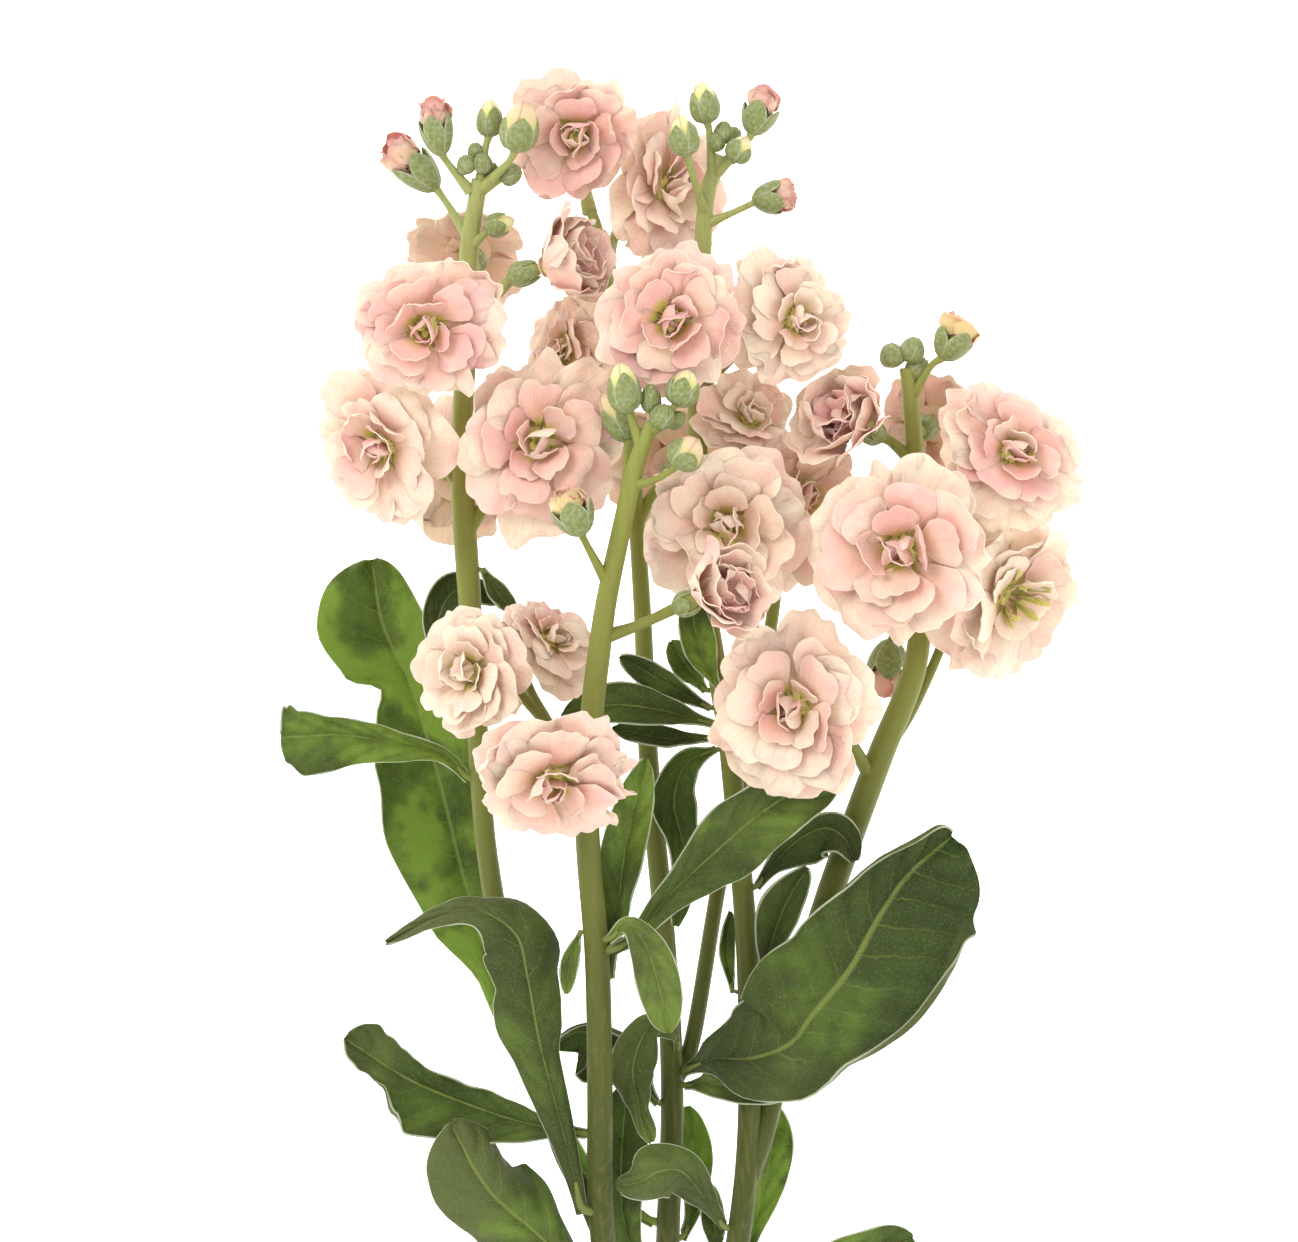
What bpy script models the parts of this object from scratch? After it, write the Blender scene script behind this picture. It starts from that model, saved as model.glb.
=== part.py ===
"""A cut stock stem: a branched spray of double flowers that lies on its back on a surface.

The cut end lies at the origin, the shoots run along +Y, and the side that faces the viewer is +Z.
Sizes and places in the tables are millimetres.
"""
import math
import random

import bmesh
import bpy
from mathutils import Matrix, Vector

MM = 0.001
COLLECTION = "stock_flower_stem"

PETAL_THICKNESS = 0.65
LEAF_THICKNESS = 0.8
LEAF_GAP = 0.35  # between a leaf's foot and the shoot it grows from
PRESS_GAP = 1.6  # what stays between the petals of two blooms that press on each other
CUP_LENGTH = 10.0  # calyx of an open bloom
CUP_RADIUS = 3.0
CUP_GAP = 0.45
STALK_RADIUS = 1.25
BUD_STALK_RADIUS = 0.9

LIE_HEIGHT = 4.5 * math.cos(math.pi / 8)  # the lower stem lies on one of its eight sides

# Centre lines of the shoots: x, y, z and radius
SHOOTS = {
    "lower_stem": [(0, 0, LIE_HEIGHT, 4.5), (0, 20, LIE_HEIGHT, 4.5), (0, 40, LIE_HEIGHT, 4.5),
        (0.6, 60, 5.2, 4.3), (1, 78, 7.6, 4.2), (0.8, 95, 11, 4.1)],
    "front_shoot": [(0.6, 88, 9.6, 3.2), (-5, 115, 22, 3.1), (-12, 150, 40, 3.1), (-14.4, 175, 52, 3.1),
        (-14.4, 199, 62, 3.1), (-15, 233, 71, 3), (-17.3, 264, 77, 2.9), (-16.3, 290, 81, 2.8),
        (-14.4, 307, 83, 2.7), (-12.7, 319, 84, 2.5), (-9.1, 336, 86, 2.3), (-6, 350, 87, 2.1),
        (-3.6, 357, 87.5, 1.9), (-2, 361, 88, 1.8)],
    "left_shoot": [(-14.3, 166, 47.6, 2.3), (-18, 175, 48, 2.4), (-24, 187, 47, 2.4),
        (-31, 211, 46, 2.5), (-37.2, 232.6, 45, 2.5), (-42, 259, 45, 2.5), (-44.6, 295, 45, 2.6),
        (-46, 319, 46, 2.8), (-47.3, 338, 46, 2.9), (-47.8, 352.6, 46, 2.8), (-47.5, 367, 47, 2.6),
        (-46.6, 384, 48, 2.5), (-46, 404, 50, 2.3), (-43.4, 420.3, 53, 2)],
    "middle_shoot": [(0.7, 92, 10.4, 3), (1, 130, 18, 3), (2, 165, 27, 2.9), (3, 200, 31, 2.8),
        (1, 239, 33, 2.6), (-2.7, 280, 35, 2.4), (-4.4, 319, 36, 2.1), (-8, 365, 38, 1.8),
        (-14, 404, 40, 1.4), (-17, 414, 40, 1.3)],
    "right_shoot": [(0.6, 85, 9, 3.2), (8, 120, 19, 3.1), (16, 150, 31, 3), (19.2, 165, 37, 2.9),
        (21.6, 192, 42, 2.8), (21.1, 234, 45, 2.7), (17, 281, 48, 2.5), (15, 295, 49, 2.5),
        (11, 319, 50, 2.5), (9, 343, 50, 2.6), (9.3, 367, 51, 2.6), (9.8, 385, 52, 2.4),
        (11, 414, 55, 2), (14.5, 426, 57, 1.9)],
    "outer_shoot": [(20.4, 176, 39, 2.6), (25, 190, 40, 2.9), (31, 215, 39, 3.1), (37, 235, 40, 3.2),
        (43.3, 254, 42, 3.3), (53.4, 281.6, 45, 3.2), (61.4, 302, 47, 2.9), (63, 320, 48, 2.6),
        (62.5, 340, 49, 2.4), (60.5, 367, 51, 2), (59.5, 375, 52, 1.8)],
    "inner_shoot": [(3.2, 201, 31, 2), (8, 212, 29, 2), (14.4, 249.4, 26, 1.9), (20.5, 277, 25, 1.8),
        (27, 312, 26, 1.6), (29.5, 334, 31, 1.5)],
}

# The core of a bloom: radius and height of its five-sided rings, as shares of the bloom's radius.
# A layer of petals grows from the band between two rings.
CORE_SIDES = 5
OPEN_RINGS = [(0.10, 0.0), (0.17, 0.10), (0.14, 0.20), (0.10, 0.29)]
CUPPED_RINGS = [(0.21, 0.0), (0.16, 0.10), (0.10, 0.19)]

LAYER_TURN = 0.5  # how far each layer's petals stand round from those of the layer outside it

# Layers of a bloom: petals, length, half width, rise at the claw and at the tip (degrees), roll, and
# the places of its rows along a petal; lengths are shares of the bloom's radius
OPEN_LAYERS = [
    (5, 0.92, 0.62, 26, -24, 0.28, (0.36, 0.66, 0.88, 1)),
    (5, 0.80, 0.46, 60, 4, 0.32, (0.4, 0.78, 1)),
    (2, 0.60, 0.34, 82, 46, 0.1, (0.5, 0.8, 1)),
]
CUPPED_LAYERS = [
    (5, 1.35, 0.52, 44, 90, 0.36, (0.36, 0.66, 0.88, 1)),
    (2, 1.15, 0.40, 80, 90, 0.2, (0.5, 0.8, 1)),
]

# The shape that a bloom fills: distance out from its axis and up along it, as shares of its radius
OPEN_PROFILE = [(1.04, 0.04), (1.02, 0.22), (0.8, 0.62), (0.38, 0.82), (0, 0.7), (0.1, 0)]
CUPPED_PROFILE = [(0.85, 1.35), (0.6, 0.6), (0.3, 1.42), (0.1, 0)]

# Blooms: middle of the throat, radius, which way it faces, layers, colour, and the stalk from the
# shoot to the calyx
BLOOMS = [
    ((-20.4, 431.8, 48.5), 16.5, (0.05, -0.2, 0.97), OPEN_LAYERS, "pink",
     [(-17, 413, 40), (-19.5, 425, 35)]),
    ((0, 418.6, 37), 18.6, (0.62, 0.1, 0.75), OPEN_LAYERS, "peach", [(-12.2, 394, 39.4), (-11.5, 406, 32)]),
    ((-46.8, 403.7, 29), 15, (-0.2, 0.35, -0.9), OPEN_LAYERS, "pink", [(-46.5, 388, 48), (-45.5, 394, 43)]),
    ((-55.2, 383.8, 74), 18, (-0.15, -0.1, 0.97), OPEN_LAYERS, "pink", [(-47.5, 369, 47), (-50, 378, 56)]),
    ((-28, 399, 58), 12.5, (0.85, 0.25, 0.45), CUPPED_LAYERS, "pink", [(-46.5, 388, 48.2), (-40, 392, 50)]),
    ((2.9, 385.7, 79), 17, (0, -0.05, 1), OPEN_LAYERS, "pink", [(9.4, 372, 51.2), (6, 381, 58)]),
    ((31.9, 385.7, 67.5), 17.3, (0.35, 0, 0.93), OPEN_LAYERS, "cream", [(9.4, 370, 51), (20, 380, 51)]),
    ((-65.3, 355.7, 62), 19, (-0.45, -0.1, 0.87), OPEN_LAYERS, "cream", [(-47.6, 346, 46), (-54, 353, 46)]),
    ((-29.5, 357, 67), 20, (0.05, 0, 1), OPEN_LAYERS, "peach", [(-46.9, 335, 46), (-37, 350, 47)]),
    ((-22.5, 380, 42), 14, (-0.5, 0, 0.85), OPEN_LAYERS, "peach", [(-8.5, 368, 38), (-13, 378, 33)]),
    ((47.9, 361.4, 60), 13.2, (-0.5, 0.3, 0.8), CUPPED_LAYERS, "pink", [(61.5, 352, 49.5), (56, 357, 51)]),
    ((15.6, 337, 70), 19, (0, -0.05, 1), OPEN_LAYERS, "peach", [(10.6, 323, 50), (15, 334, 53)]),
    ((10, 319.5, 91), 12, (0.65, 0.25, 0.7), CUPPED_LAYERS, "pink", [(-13.8, 310, 83.3), (-5, 313, 81)]),
    ((32.9, 344.8, 47), 16, (0.3, 0, 0.95), OPEN_LAYERS, "peach", [(29.4, 333, 30.8), (29.6, 341, 34)]),
    ((21.4, 361, 56.5), 13.6, (0.3, 0.5, 0.8), OPEN_LAYERS, "peach", [(9, 345, 50), (14, 351, 46)]),
    ((57.6, 331, 78), 21.5, (-0.1, -0.05, 0.98), OPEN_LAYERS, "cream",
     [(62.9, 316, 47.8), (60.5, 328, 55)]),
    ((84, 354.5, 64), 19, (0.25, 0.1, 0.96), OPEN_LAYERS, "pink", [(62.4, 341, 49), (73, 351, 48)]),
    ((81.6, 321, 56), 19, (0.57, -0.36, 0.73), OPEN_LAYERS, "cream",
     [(53.6, 282, 45), (60.5, 291, 41), (67.5, 306, 40), (73, 321, 43)]),
    ((-43.7, 301.7, 74), 15, (-0.55, 0.1, 0.8), OPEN_LAYERS, "cream",
     [(-17.1, 278, 79), (-26, 288, 72), (-34, 297, 67)]),
    ((-27.6, 309, 66), 14, (0.55, 0.4, 0.7), OPEN_LAYERS, "peach", [(-27, 289, 71.3), (-31.5, 298, 62)]),
    ((-25.7, 277.7, 94), 18.5, (0.05, -0.6, 0.8), OPEN_LAYERS, "peach", [(-17, 281, 79.6), (-24, 285, 83)]),
    ((32.9, 293.8, 73), 20, (-0.25, -0.1, 0.95), OPEN_LAYERS, "peach", [(51.2, 276, 44.6), (43, 289, 56)]),
    ((66, 362, 35), 12, (0.3, 0.2, -0.9), OPEN_LAYERS, "pink", [(61.2, 356, 50), (62, 359, 47)]),
    ((-50, 350, 15.16), 18, (-0.2, -0.1, -0.97), OPEN_LAYERS, "peach", [(-47, 334, 46), (-48.5, 345, 37)]),
    ((4, 351, 18), 17, (0.1, 0.2, -0.97), OPEN_LAYERS, "peach", [(-5.5, 338, 37), (-1, 346, 35)]),
    ((70, 330, 16.64), 18, (0.3, -0.2, -0.93), OPEN_LAYERS, "cream", [(63, 316, 47.7), (66, 326, 38)]),
]

# Closed buds: middle, length, radius, which way it points, and the stalk up to it
BUDS = [
    ((-53.8, 432.3, 56), 13.2, 3.6, (-0.2, 0.98, 0), [(-45.6, 417.4, 52.6), (-50.9, 424, 54)]),
    ((-41, 435, 54), 9.2, 2.8, (0.05, 1, 0), [(-43.2, 420, 53), (-42, 428, 53.6)]),
    ((-59.5, 424, 48), 15, 4.8, (-0.7, 0.7, 0), [(-45.8, 406, 50.3), (-51.6, 415, 48.5)]),
    ((-33.6, 432.2, 63), 12, 4.3, (0.2, 0.96, 0.15), [(-43.2, 418, 53), (-36.6, 424, 59)]),
    ((55.6, 303, 32), 14, 4.8, (-0.1, -0.95, -0.3), [(62, 311, 47.5), (58.5, 314, 38)]),
    ((-46.6, 423.9, 54.5), 4.6, 2.2, (-0.5, 0.8, 0.2), []),
    ((-44.4, 427.2, 53), 4.2, 1.7, (-0.2, 1, 0), []),
    ((-42.6, 424.2, 55.5), 5, 2, (0, 0.9, 0.4), []),
    ((-41, 422.3, 51.5), 5, 2, (0.4, 0.9, -0.2), []),
    ((-36, 421.7, 53.5), 5.6, 2.5, (0.9, 0.3, 0), [(-42.6, 418, 53), (-39, 420, 53.3)]),
    ((-38.6, 409.5, 53.5), 7.2, 2.7, (0.95, 0.3, 0.1), [(-45, 405, 51), (-42, 407.6, 52.5)]),
    ((10.6, 438.3, 60), 10, 3.2, (-0.15, 1, 0), [(12.8, 420, 56.5), (11.9, 431, 58.5)]),
    ((5.5, 430, 67), 10, 3.3, (-0.2, 0.97, 0.2), [(10.9, 411.4, 54.6), (8.4, 419, 61.5)]),
    ((24, 436.1, 59), 11.5, 4, (0.35, 0.93, 0), [(14.4, 423.4, 57), (20, 428, 58)]),
    ((19.2, 427.2, 61), 6.8, 3, (0.5, 0.8, 0.2), [(14, 422, 57), (16.5, 424, 59)]),
    ((15.2, 431.4, 57.5), 5.6, 2.1, (0.1, 1, 0), []),
    ((13.4, 429, 59), 4.6, 1.9, (-0.3, 0.9, 0.3), []),
    ((17.4, 430.8, 55.5), 4.6, 2, (0.6, 0.8, -0.2), []),
    ((27.4, 415.8, 57), 10.5, 3.7, (0.97, 0.1, 0), [(11, 409.5, 54.6), (17, 412, 56), (23, 414.8, 57)]),
    ((-8.6, 369, 89), 11.8, 3.7, (-0.15, 0.98, 0), [(-4.4, 355, 87.4), (-7.3, 363.2, 88.5)]),
    ((5.5, 369, 89), 9, 3.5, (0.3, 0.95, 0), [(-2, 359, 88), (3.6, 365, 88.8)]),
    ((-2.2, 366.6, 87), 7, 2.1, (-0.05, 1, 0), []),
    ((0.6, 362.4, 90), 6, 2.6, (0.4, 0.8, 0.4), []),
    ((3.8, 361.6, 86.5), 5, 1.9, (0.8, 0.6, 0), [(-2.6, 358.6, 87.6), (1.6, 360.6, 87)]),
    ((6.2, 353.6, 93), 8.4, 4, (0.6, 0.75, 0.2), [(-6.9, 346, 86.7), (-1, 347.5, 89.5),
     (2.6, 349.6, 91.5)]),
    ((-20.4, 339.4, 92), 11.5, 4.6, (-0.35, 0.93, 0), [(-12, 322, 84.2), (-17.4, 332, 89)]),
    ((-10.4, 362.5, 77), 13, 3.2, (-0.5, 0.85, 0), [(-8, 340, 86), (-8, 352, 81)]),
    ((55.9, 378, 53), 6, 2.7, (-0.3, 0.95, 0), []),
    ((60.8, 379.3, 53.5), 6.4, 2.7, (0.3, 0.95, 0), []),
    ((62.2, 375, 51), 6, 2.5, (0.7, 0.7, 0), []),
    ((70.6, 381.6, 56), 11, 4.4, (0.5, 0.85, 0), [(60.4, 367.1, 51), (65, 375, 54)]),
    ((-14.6, 405.4, 45), 7, 3.2, (0.1, 0.9, 0.4), [(-13, 398, 39.8), (-14, 401.5, 43)]),
]

# Leaves: points along the midrib, half width, where the blade is widest, half width of its base,
# how it faces at the base and at the tip, fold of the blade (degrees), and rows
LEAVES = [
    ([(-1.4, 167, 27.5), (-15, 176, 24), (-31, 201, 21), (-39, 220.6, 20), (-47.5, 249.4, 20),
      (-54.2, 276.3, 21), (-61, 298, 22), (-67.6, 313, 23), (-70.4, 329, 23)],
     13, 0.86, 1.4, (0, 0.2, 1), (0.1, 0.1, 1), 10, 9),
    ([(-46.2, 275.8, 45), (-52.8, 281.8, 48), (-62.4, 284.2, 51), (-76.8, 286.6, 54),
      (-91.2, 285.9, 55)],
     6.9, 0.9, 1.3, (0, 0, 1), (0, -0.2, 1), 12, 6),
    ([(-18.6, 171, 53), (-21.2, 183, 59), (-25.2, 199, 63), (-28.8, 213, 64.5), (-31.6, 228, 66),
      (-34.5, 239, 68), (-44, 245, 71), (-54, 243, 69.5), (-65.3, 236.7, 66)],
     9, 0.52, 1.6, (0.1, 0, 1), (0, 0.5, 0.86), -22, 10),
    ([(-17.6, 190.5, 56.5), (-25, 192.5, 52), (-33, 194.5, 48.5), (-42, 197.5, 46), (-55.7, 203, 46),
      (-65, 206.5, 48), (-75, 212.4, 52)],
     8.2, 0.75, 1.3, (0, 0.2, 1), (0.1, 0.35, 0.93), 22, 7),
    ([(-15.3, 149, 41), (-21, 157, 45.5), (-29.6, 166, 50), (-38.6, 174, 53.5), (-44.6, 182, 56),
      (-50.4, 193.4, 57)],
     12.2, 0.66, 1.8, (0, 0.2, 1), (0.4, 0.2, 0.8), -30, 6),
    ([(-11.5, 228.5, 68), (-10.4, 240, 68.5), (-8.4, 259, 70), (-3.6, 281, 70)],
     5.8, 0.55, 1.2, (-0.8, 0, 0.6), (0.2, 0, 1), 18, 5),
    ([(-11.2, 235.5, 73), (-6, 239, 75), (2.9, 249.2, 74.5), (13.7, 259.2, 70), (23, 267, 64),
      (32, 272.5, 59), (43.2, 275.8, 55)],
     9.2, 0.62, 1.5, (0.1, -0.3, 1), (0.3, -0.2, 0.9), 12, 7),
    ([(23.3, 249.5, 46.5), (28, 256, 48), (34, 261.5, 49), (40, 264, 50), (44.6, 261.5, 50.5),
      (47, 256, 49.5)],
     4.4, 0.55, 1.1, (0, -0.3, 1), (0.5, -0.4, 0.7), 20, 6),
    ([(6.4, 204.5, 32.5), (13, 208, 45), (22, 208.5, 53), (31.2, 212.2, 57), (36.5, 219.2, 59.5),
      (45.4, 230.4, 62), (52.1, 242.7, 63), (59.6, 253.4, 61), (69.4, 262.6, 57)],
     20.5, 0.64, 1.5, (-0.3, 0.2, 0.9), (0.25, -0.2, 0.9), 16, 10),
    ([(6.5, 200.8, 33), (13, 201.8, 43), (20.4, 201, 48), (29.5, 198.8, 49)],
     4.6, 0.6, 1.1, (0, 0.3, 1), (0, 0.3, 1), 20, 5),
    ([(4.6, 209.8, 34.5), (3.6, 214, 41), (-2.4, 216, 48), (-6.4, 207, 52), (-5, 197, 54),
      (-1.9, 188.4, 53)],
     6.4, 0.7, 1.1, (0.3, 0.3, 0.9), (0, 0.1, 1), -28, 6),
    ([(15.9, 166.5, 38.2), (11, 174, 45), (5.5, 181, 51), (0, 181.5, 55), (-5, 179, 57),
      (-10.4, 178, 57.5)],
     6.8, 0.66, 1.2, (0, -0.3, 1), (0.1, 0.3, 1), -20, 6),
    ([(-12.2, 238, 74.8), (-7.5, 241.5, 80), (-3, 236, 82), (0, 226, 80), (2, 216, 76)],
     5.5, 0.6, 1.2, (0.2, 0.3, 1), (0, -0.2, 1), 12, 5),
    ([(-0.4, 196.4, 31.5), (-7, 205, 35), (-13, 211.5, 38), (-19.5, 214.5, 41), (-25.5, 211, 40)],
     6.6, 0.6, 1.2, (0, -0.2, 1), (0.2, -0.6, 0.7), 34, 6),
    ([(-1.9, 150, 24.3), (-6, 158, 31), (-9, 170, 37), (-9.4, 182, 41), (-8.8, 192, 43),
      (-7.7, 202, 43.5)],
     6.6, 0.72, 1.5, (-0.2, 0, 1), (0, 0, 1), 14, 5),
    ([(5.4, 163, 26), (9, 170, 22), (10.5, 182, 19), (9, 195, 19)],
     4.6, 0.66, 1.2, (0.2, 0, 1), (0, 0, 1), 14, 5),
    ([(20.9, 158.5, 33), (24, 166, 28), (27.5, 178, 25), (29.5, 189, 25), (29, 198, 27)],
     5.6, 0.64, 1.2, (0.2, 0, 1), (0, -0.2, 1), 16, 5),
    ([(15.4, 157.5, 35), (13.4, 166, 34), (12, 177, 33)],
     3.2, 0.55, 1, (-0.2, 0, 1), (0, 0, 1), 20, 4),
    ([(13.6, 124.3, 22), (25, 134.5, 24), (38, 148, 26), (50, 156.4, 26), (62, 161.6, 23)],
     11, 0.6, 1.6, (0.1, -0.2, 1), (0.2, -0.3, 1), 16, 6),
    ([(12.3, 292.8, 49.8), (3, 298, 54), (-9.5, 305.5, 56)],
     3.6, 0.6, 0.9, (0, -0.3, 1), (0, -0.2, 1), 18, 4),
    ([(12.6, 289.2, 50), (0, 292.6, 58), (-12, 293.8, 62), (-23.4, 290.6, 62)],
     5.6, 0.6, 1.1, (0, 0.1, 1), (0, 0.3, 1), 22, 6),
    ([(13.4, 285.6, 48.5), (2, 285.6, 50), (-11.5, 288, 49)],
     3.2, 0.6, 0.9, (0, 0.5, 0.86), (0, 0.4, 0.9), 16, 4),
    ([(14.2, 280.2, 46.8), (7, 275, 46), (3.6, 268, 43.5), (6.5, 256, 41.5), (3.8, 240, 41)],
     4.3, 0.5, 0.9, (-0.2, 0, 1), (0.2, 0, 1), 24, 5),
    ([(11, 297, 48.4), (6.6, 303, 46), (2.6, 309, 45)],
     3.7, 0.55, 0.9, (0, -0.1, 1), (0, 0, 1), 14, 4),
    ([(14.2, 297.6, 52), (10.5, 305, 55.5), (8.5, 312, 57), (7, 320, 56.5)],
     4.6, 0.55, 0.9, (0, -0.2, 1), (0.1, 0.2, 1), 20, 4),
    ([(-48.6, 297, 43.6), (-52.8, 306, 41), (-53.6, 315, 39), (-49, 321.5, 38), (-39, 318.5, 39.5)],
     5, 0.6, 1, (0, 0, 1), (0, 0.4, 0.9), 30, 6),
    ([(-43, 326.6, 47.4), (-39, 320.5, 49), (-34.8, 316, 48.5)],
     2.7, 0.55, 0.8, (0, 0.3, 1), (0, 0.3, 1), 20, 4),
    ([(-18.6, 240, 71), (-21.4, 233, 73), (-22.4, 225, 72.5)],
     2.3, 0.55, 0.8, (0, 0, 1), (0, 0, 1), 14, 4),
    ([(17.8, 224, 44), (16.2, 234, 42), (17.2, 243.5, 41)],
     2.1, 0.55, 0.7, (0, 0, 1), (0.4, 0, 1), 14, 4),
    ([(24.7, 227.2, 46), (27.4, 238, 50), (31, 247, 53.5), (35.5, 254.5, 56)],
     3.7, 0.6, 0.9, (0, -0.2, 1), (0, -0.2, 1), 24, 5),
]

COLOURS = {
    "pink": (0.86, 0.56, 0.52), "peach": (0.86, 0.62, 0.50), "cream": (0.87, 0.72, 0.58),
    "leaf": (0.07, 0.15, 0.03), "stem": (0.25, 0.34, 0.10),
}
ROUGHNESS = {"pink": 0.7, "peach": 0.7, "cream": 0.7, "leaf": 0.55, "stem": 0.6}


def material(name):
    """The finish of one kind of tissue, made once."""
    made = bpy.data.materials.get(name)
    if made:
        return made
    made = bpy.data.materials.new(name)
    made.use_nodes = True
    shader = made.node_tree.nodes["Principled BSDF"]
    shader.inputs["Base Color"].default_value = (*COLOURS[name], 1)
    shader.inputs["Roughness"].default_value = ROUGHNESS[name]
    shader.inputs["Metallic"].default_value = 0
    return made


def evaluated_mesh(piece):
    """The mesh of an object with its modifiers applied; the object itself is removed."""
    bpy.context.view_layer.update()
    graph = bpy.context.evaluated_depsgraph_get()
    mesh = bpy.data.meshes.new_from_object(piece.evaluated_get(graph))
    mesh.transform(piece.matrix_world)
    source = piece.data
    bpy.data.objects.remove(piece)
    if isinstance(source, bpy.types.Curve):
        bpy.data.curves.remove(source)
    return mesh


def place_mesh(name, mesh, collection):
    piece = bpy.data.objects.new(name, mesh)
    collection.objects.link(piece)
    return piece


def tube(points, bevel, scratch):
    """A closed round tube along points of x, y, z and radius, with 4 + 2 * bevel sides."""
    curve = bpy.data.curves.new("tube", "CURVE")
    curve.dimensions = "3D"
    curve.twist_mode = "Z_UP"
    curve.bevel_depth = MM
    curve.bevel_resolution = bevel
    curve.use_fill_caps = True
    spline = curve.splines.new("POLY")
    spline.points.add(len(points) - 1)
    half_side = math.pi / (4 + 2 * bevel)
    for point, (x, y, z, radius) in zip(spline.points, points):
        point.co = (x * MM, y * MM, z * MM, 1)
        point.radius = radius
        point.tilt = half_side
    piece = bpy.data.objects.new("tube", curve)
    scratch.objects.link(piece)
    mesh = evaluated_mesh(piece)
    weld(mesh)
    return place_mesh("tube", mesh, scratch)


def weld(mesh):
    shell = bmesh.new()
    shell.from_mesh(mesh)
    bmesh.ops.remove_doubles(shell, verts=shell.verts, dist=0.001 * MM)
    bmesh.ops.recalc_face_normals(shell, faces=shell.faces)
    shell.to_mesh(mesh)
    shell.free()


def pod(middle, length, radius, points_to, scratch):
    """A closed bud or calyx: a ball drawn out along points_to, fullest below its middle."""
    shell = bmesh.new()
    bmesh.ops.create_uvsphere(shell, u_segments=6 if radius > 2.6 else 5, v_segments=4, radius=1)
    turn = Vector((0, 0, 1)).rotation_difference(Vector(points_to))
    for vert in shell.verts:
        width = radius * (1 - 0.22 * vert.co.z)
        spot = Vector((vert.co.x * width, vert.co.y * width, vert.co.z * length / 2))
        vert.co = (turn @ spot + Vector(middle)) * MM
    mesh = bpy.data.meshes.new("pod")
    shell.to_mesh(mesh)
    shell.free()
    return place_mesh("pod", mesh, scratch)


def reach(number, direction):
    """How far a bloom spreads from the middle of its throat in a direction."""
    radius, faces, layers = BLOOMS[number][1:4]
    profile = OPEN_PROFILE if layers is OPEN_LAYERS else CUPPED_PROFILE
    up = direction.dot(Vector(faces).normalized())
    out = math.sqrt(max(0, 1 - up * up))
    return radius * max(out * share_out + up * share_up for share_out, share_up in profile)


def neighbours(number):
    """The blooms that press on this one: direction, and how much its petals shorten that way."""
    middle = Vector(BLOOMS[number][0])
    found = []
    for other, row in enumerate(BLOOMS):
        away = Vector(row[0]) - middle
        distance = away.length
        if other == number:
            continue
        away.normalize()
        wanted = reach(number, away) + reach(other, -away)
        if wanted > distance - PRESS_GAP:
            found.append((away, (distance - PRESS_GAP) / wanted))
    return found


def bend_clear(spot, middle, pressed):
    """Move a petal point back where the blooms beside it leave less room."""
    for away, share in pressed:
        past = (spot - middle).dot(away)
        if past > 0:
            spot = spot - away * past * (1 - share)
    return spot


def outline(along, half_width):
    """Half width of a petal along its length: a narrow claw, then a broad blade with a round end."""
    claw = 0.26 + 0.74 * min(1, along / 0.84) ** 1.8
    return half_width * claw * math.sqrt(1 - 0.86 * max(0, (along - 0.45) / 0.55) ** 3)


def petal_spot(layer, root, along, across, ruffle):
    """A point of a petal's middle surface: out from the bloom's axis, sideways and up."""
    _, length, half_width, rise, fall, roll, _ = layer
    rise, fall = math.radians(rise), math.radians(fall)
    lift = rise + (fall - rise) * along
    out = root[0] + length * (math.sin(lift) - math.sin(rise)) / (fall - rise)
    up = root[1] - length * (math.cos(lift) - math.cos(rise)) / (fall - rise)
    side = outline(along, half_width) * across
    bow = roll * side + ruffle[0] * across * across * along + ruffle[1] * across * along * along
    return Vector((out - math.sin(lift) * bow, side, up + math.cos(lift) * bow))


def grow_petal(shell, face, layer, place, draw):
    """Draw one face of the core out into a thin petal, row by row."""
    frame, middle, radius, pressed = place
    corners = [frame.transposed() @ (vert.co / MM - middle) / radius for vert in face.verts]
    centre = sum(corners, Vector()) / len(corners)
    root = (math.hypot(centre.x, centre.y), centre.z)
    ends = [(1 if corner.y > centre.y else -1, 1 if corner.z > centre.z else -1) for corner in corners]
    ruffle = (draw.uniform(-0.05, 0.08), draw.uniform(-0.09, 0.09))

    def spot(along, across):
        inner = petal_spot(layer, root, along, across, ruffle) * radius
        return bend_clear(middle + frame @ inner, middle, pressed)

    for along in layer[6]:
        face = bmesh.ops.extrude_discrete_faces(shell, faces=[face])["faces"][0]
        for vert, (across, side) in zip(face.verts, ends):
            lengthwise = spot(along, across) - spot(along - 0.05, across)
            crosswise = spot(along, across * 0.9 + 0.1) - spot(along, across * 0.9 - 0.1)
            normal = lengthwise.cross(crosswise).normalized()
            vert.co = (spot(along, across) + normal * side * PETAL_THICKNESS / 2) * MM


def blade_solid(blade, thickness, scratch):
    """A thin solid from an open sheet of triangles."""
    bmesh.ops.triangulate(blade, faces=blade.faces)
    mesh = bpy.data.meshes.new("blade")
    blade.to_mesh(mesh)
    blade.free()
    piece = place_mesh("blade", mesh, scratch)
    wall = piece.modifiers.new("Solidify", "SOLIDIFY")
    wall.thickness = thickness * MM
    wall.offset = 0
    return place_mesh("blade", evaluated_mesh(piece), scratch)


def fuse(name, pieces, scratch, collection, kind):
    """Join pieces that grow from one another in one closed body."""
    rest = bpy.data.collections.new("growing_together")
    bpy.context.scene.collection.children.link(rest)
    for piece in pieces[1:]:
        scratch.objects.unlink(piece)
        rest.objects.link(piece)
    join = pieces[0].modifiers.new("Boolean", "BOOLEAN")
    join.operation = "UNION"
    join.operand_type = "COLLECTION"
    join.collection = rest
    join.solver = "MANIFOLD"
    mesh = evaluated_mesh(pieces[0])
    for piece in list(rest.objects):
        bpy.data.objects.remove(piece)
    bpy.data.collections.remove(rest)
    clean(mesh)
    body = place_mesh(name, mesh, collection)
    body.data.materials.clear()
    body.data.materials.append(material(kind))
    return body


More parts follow.
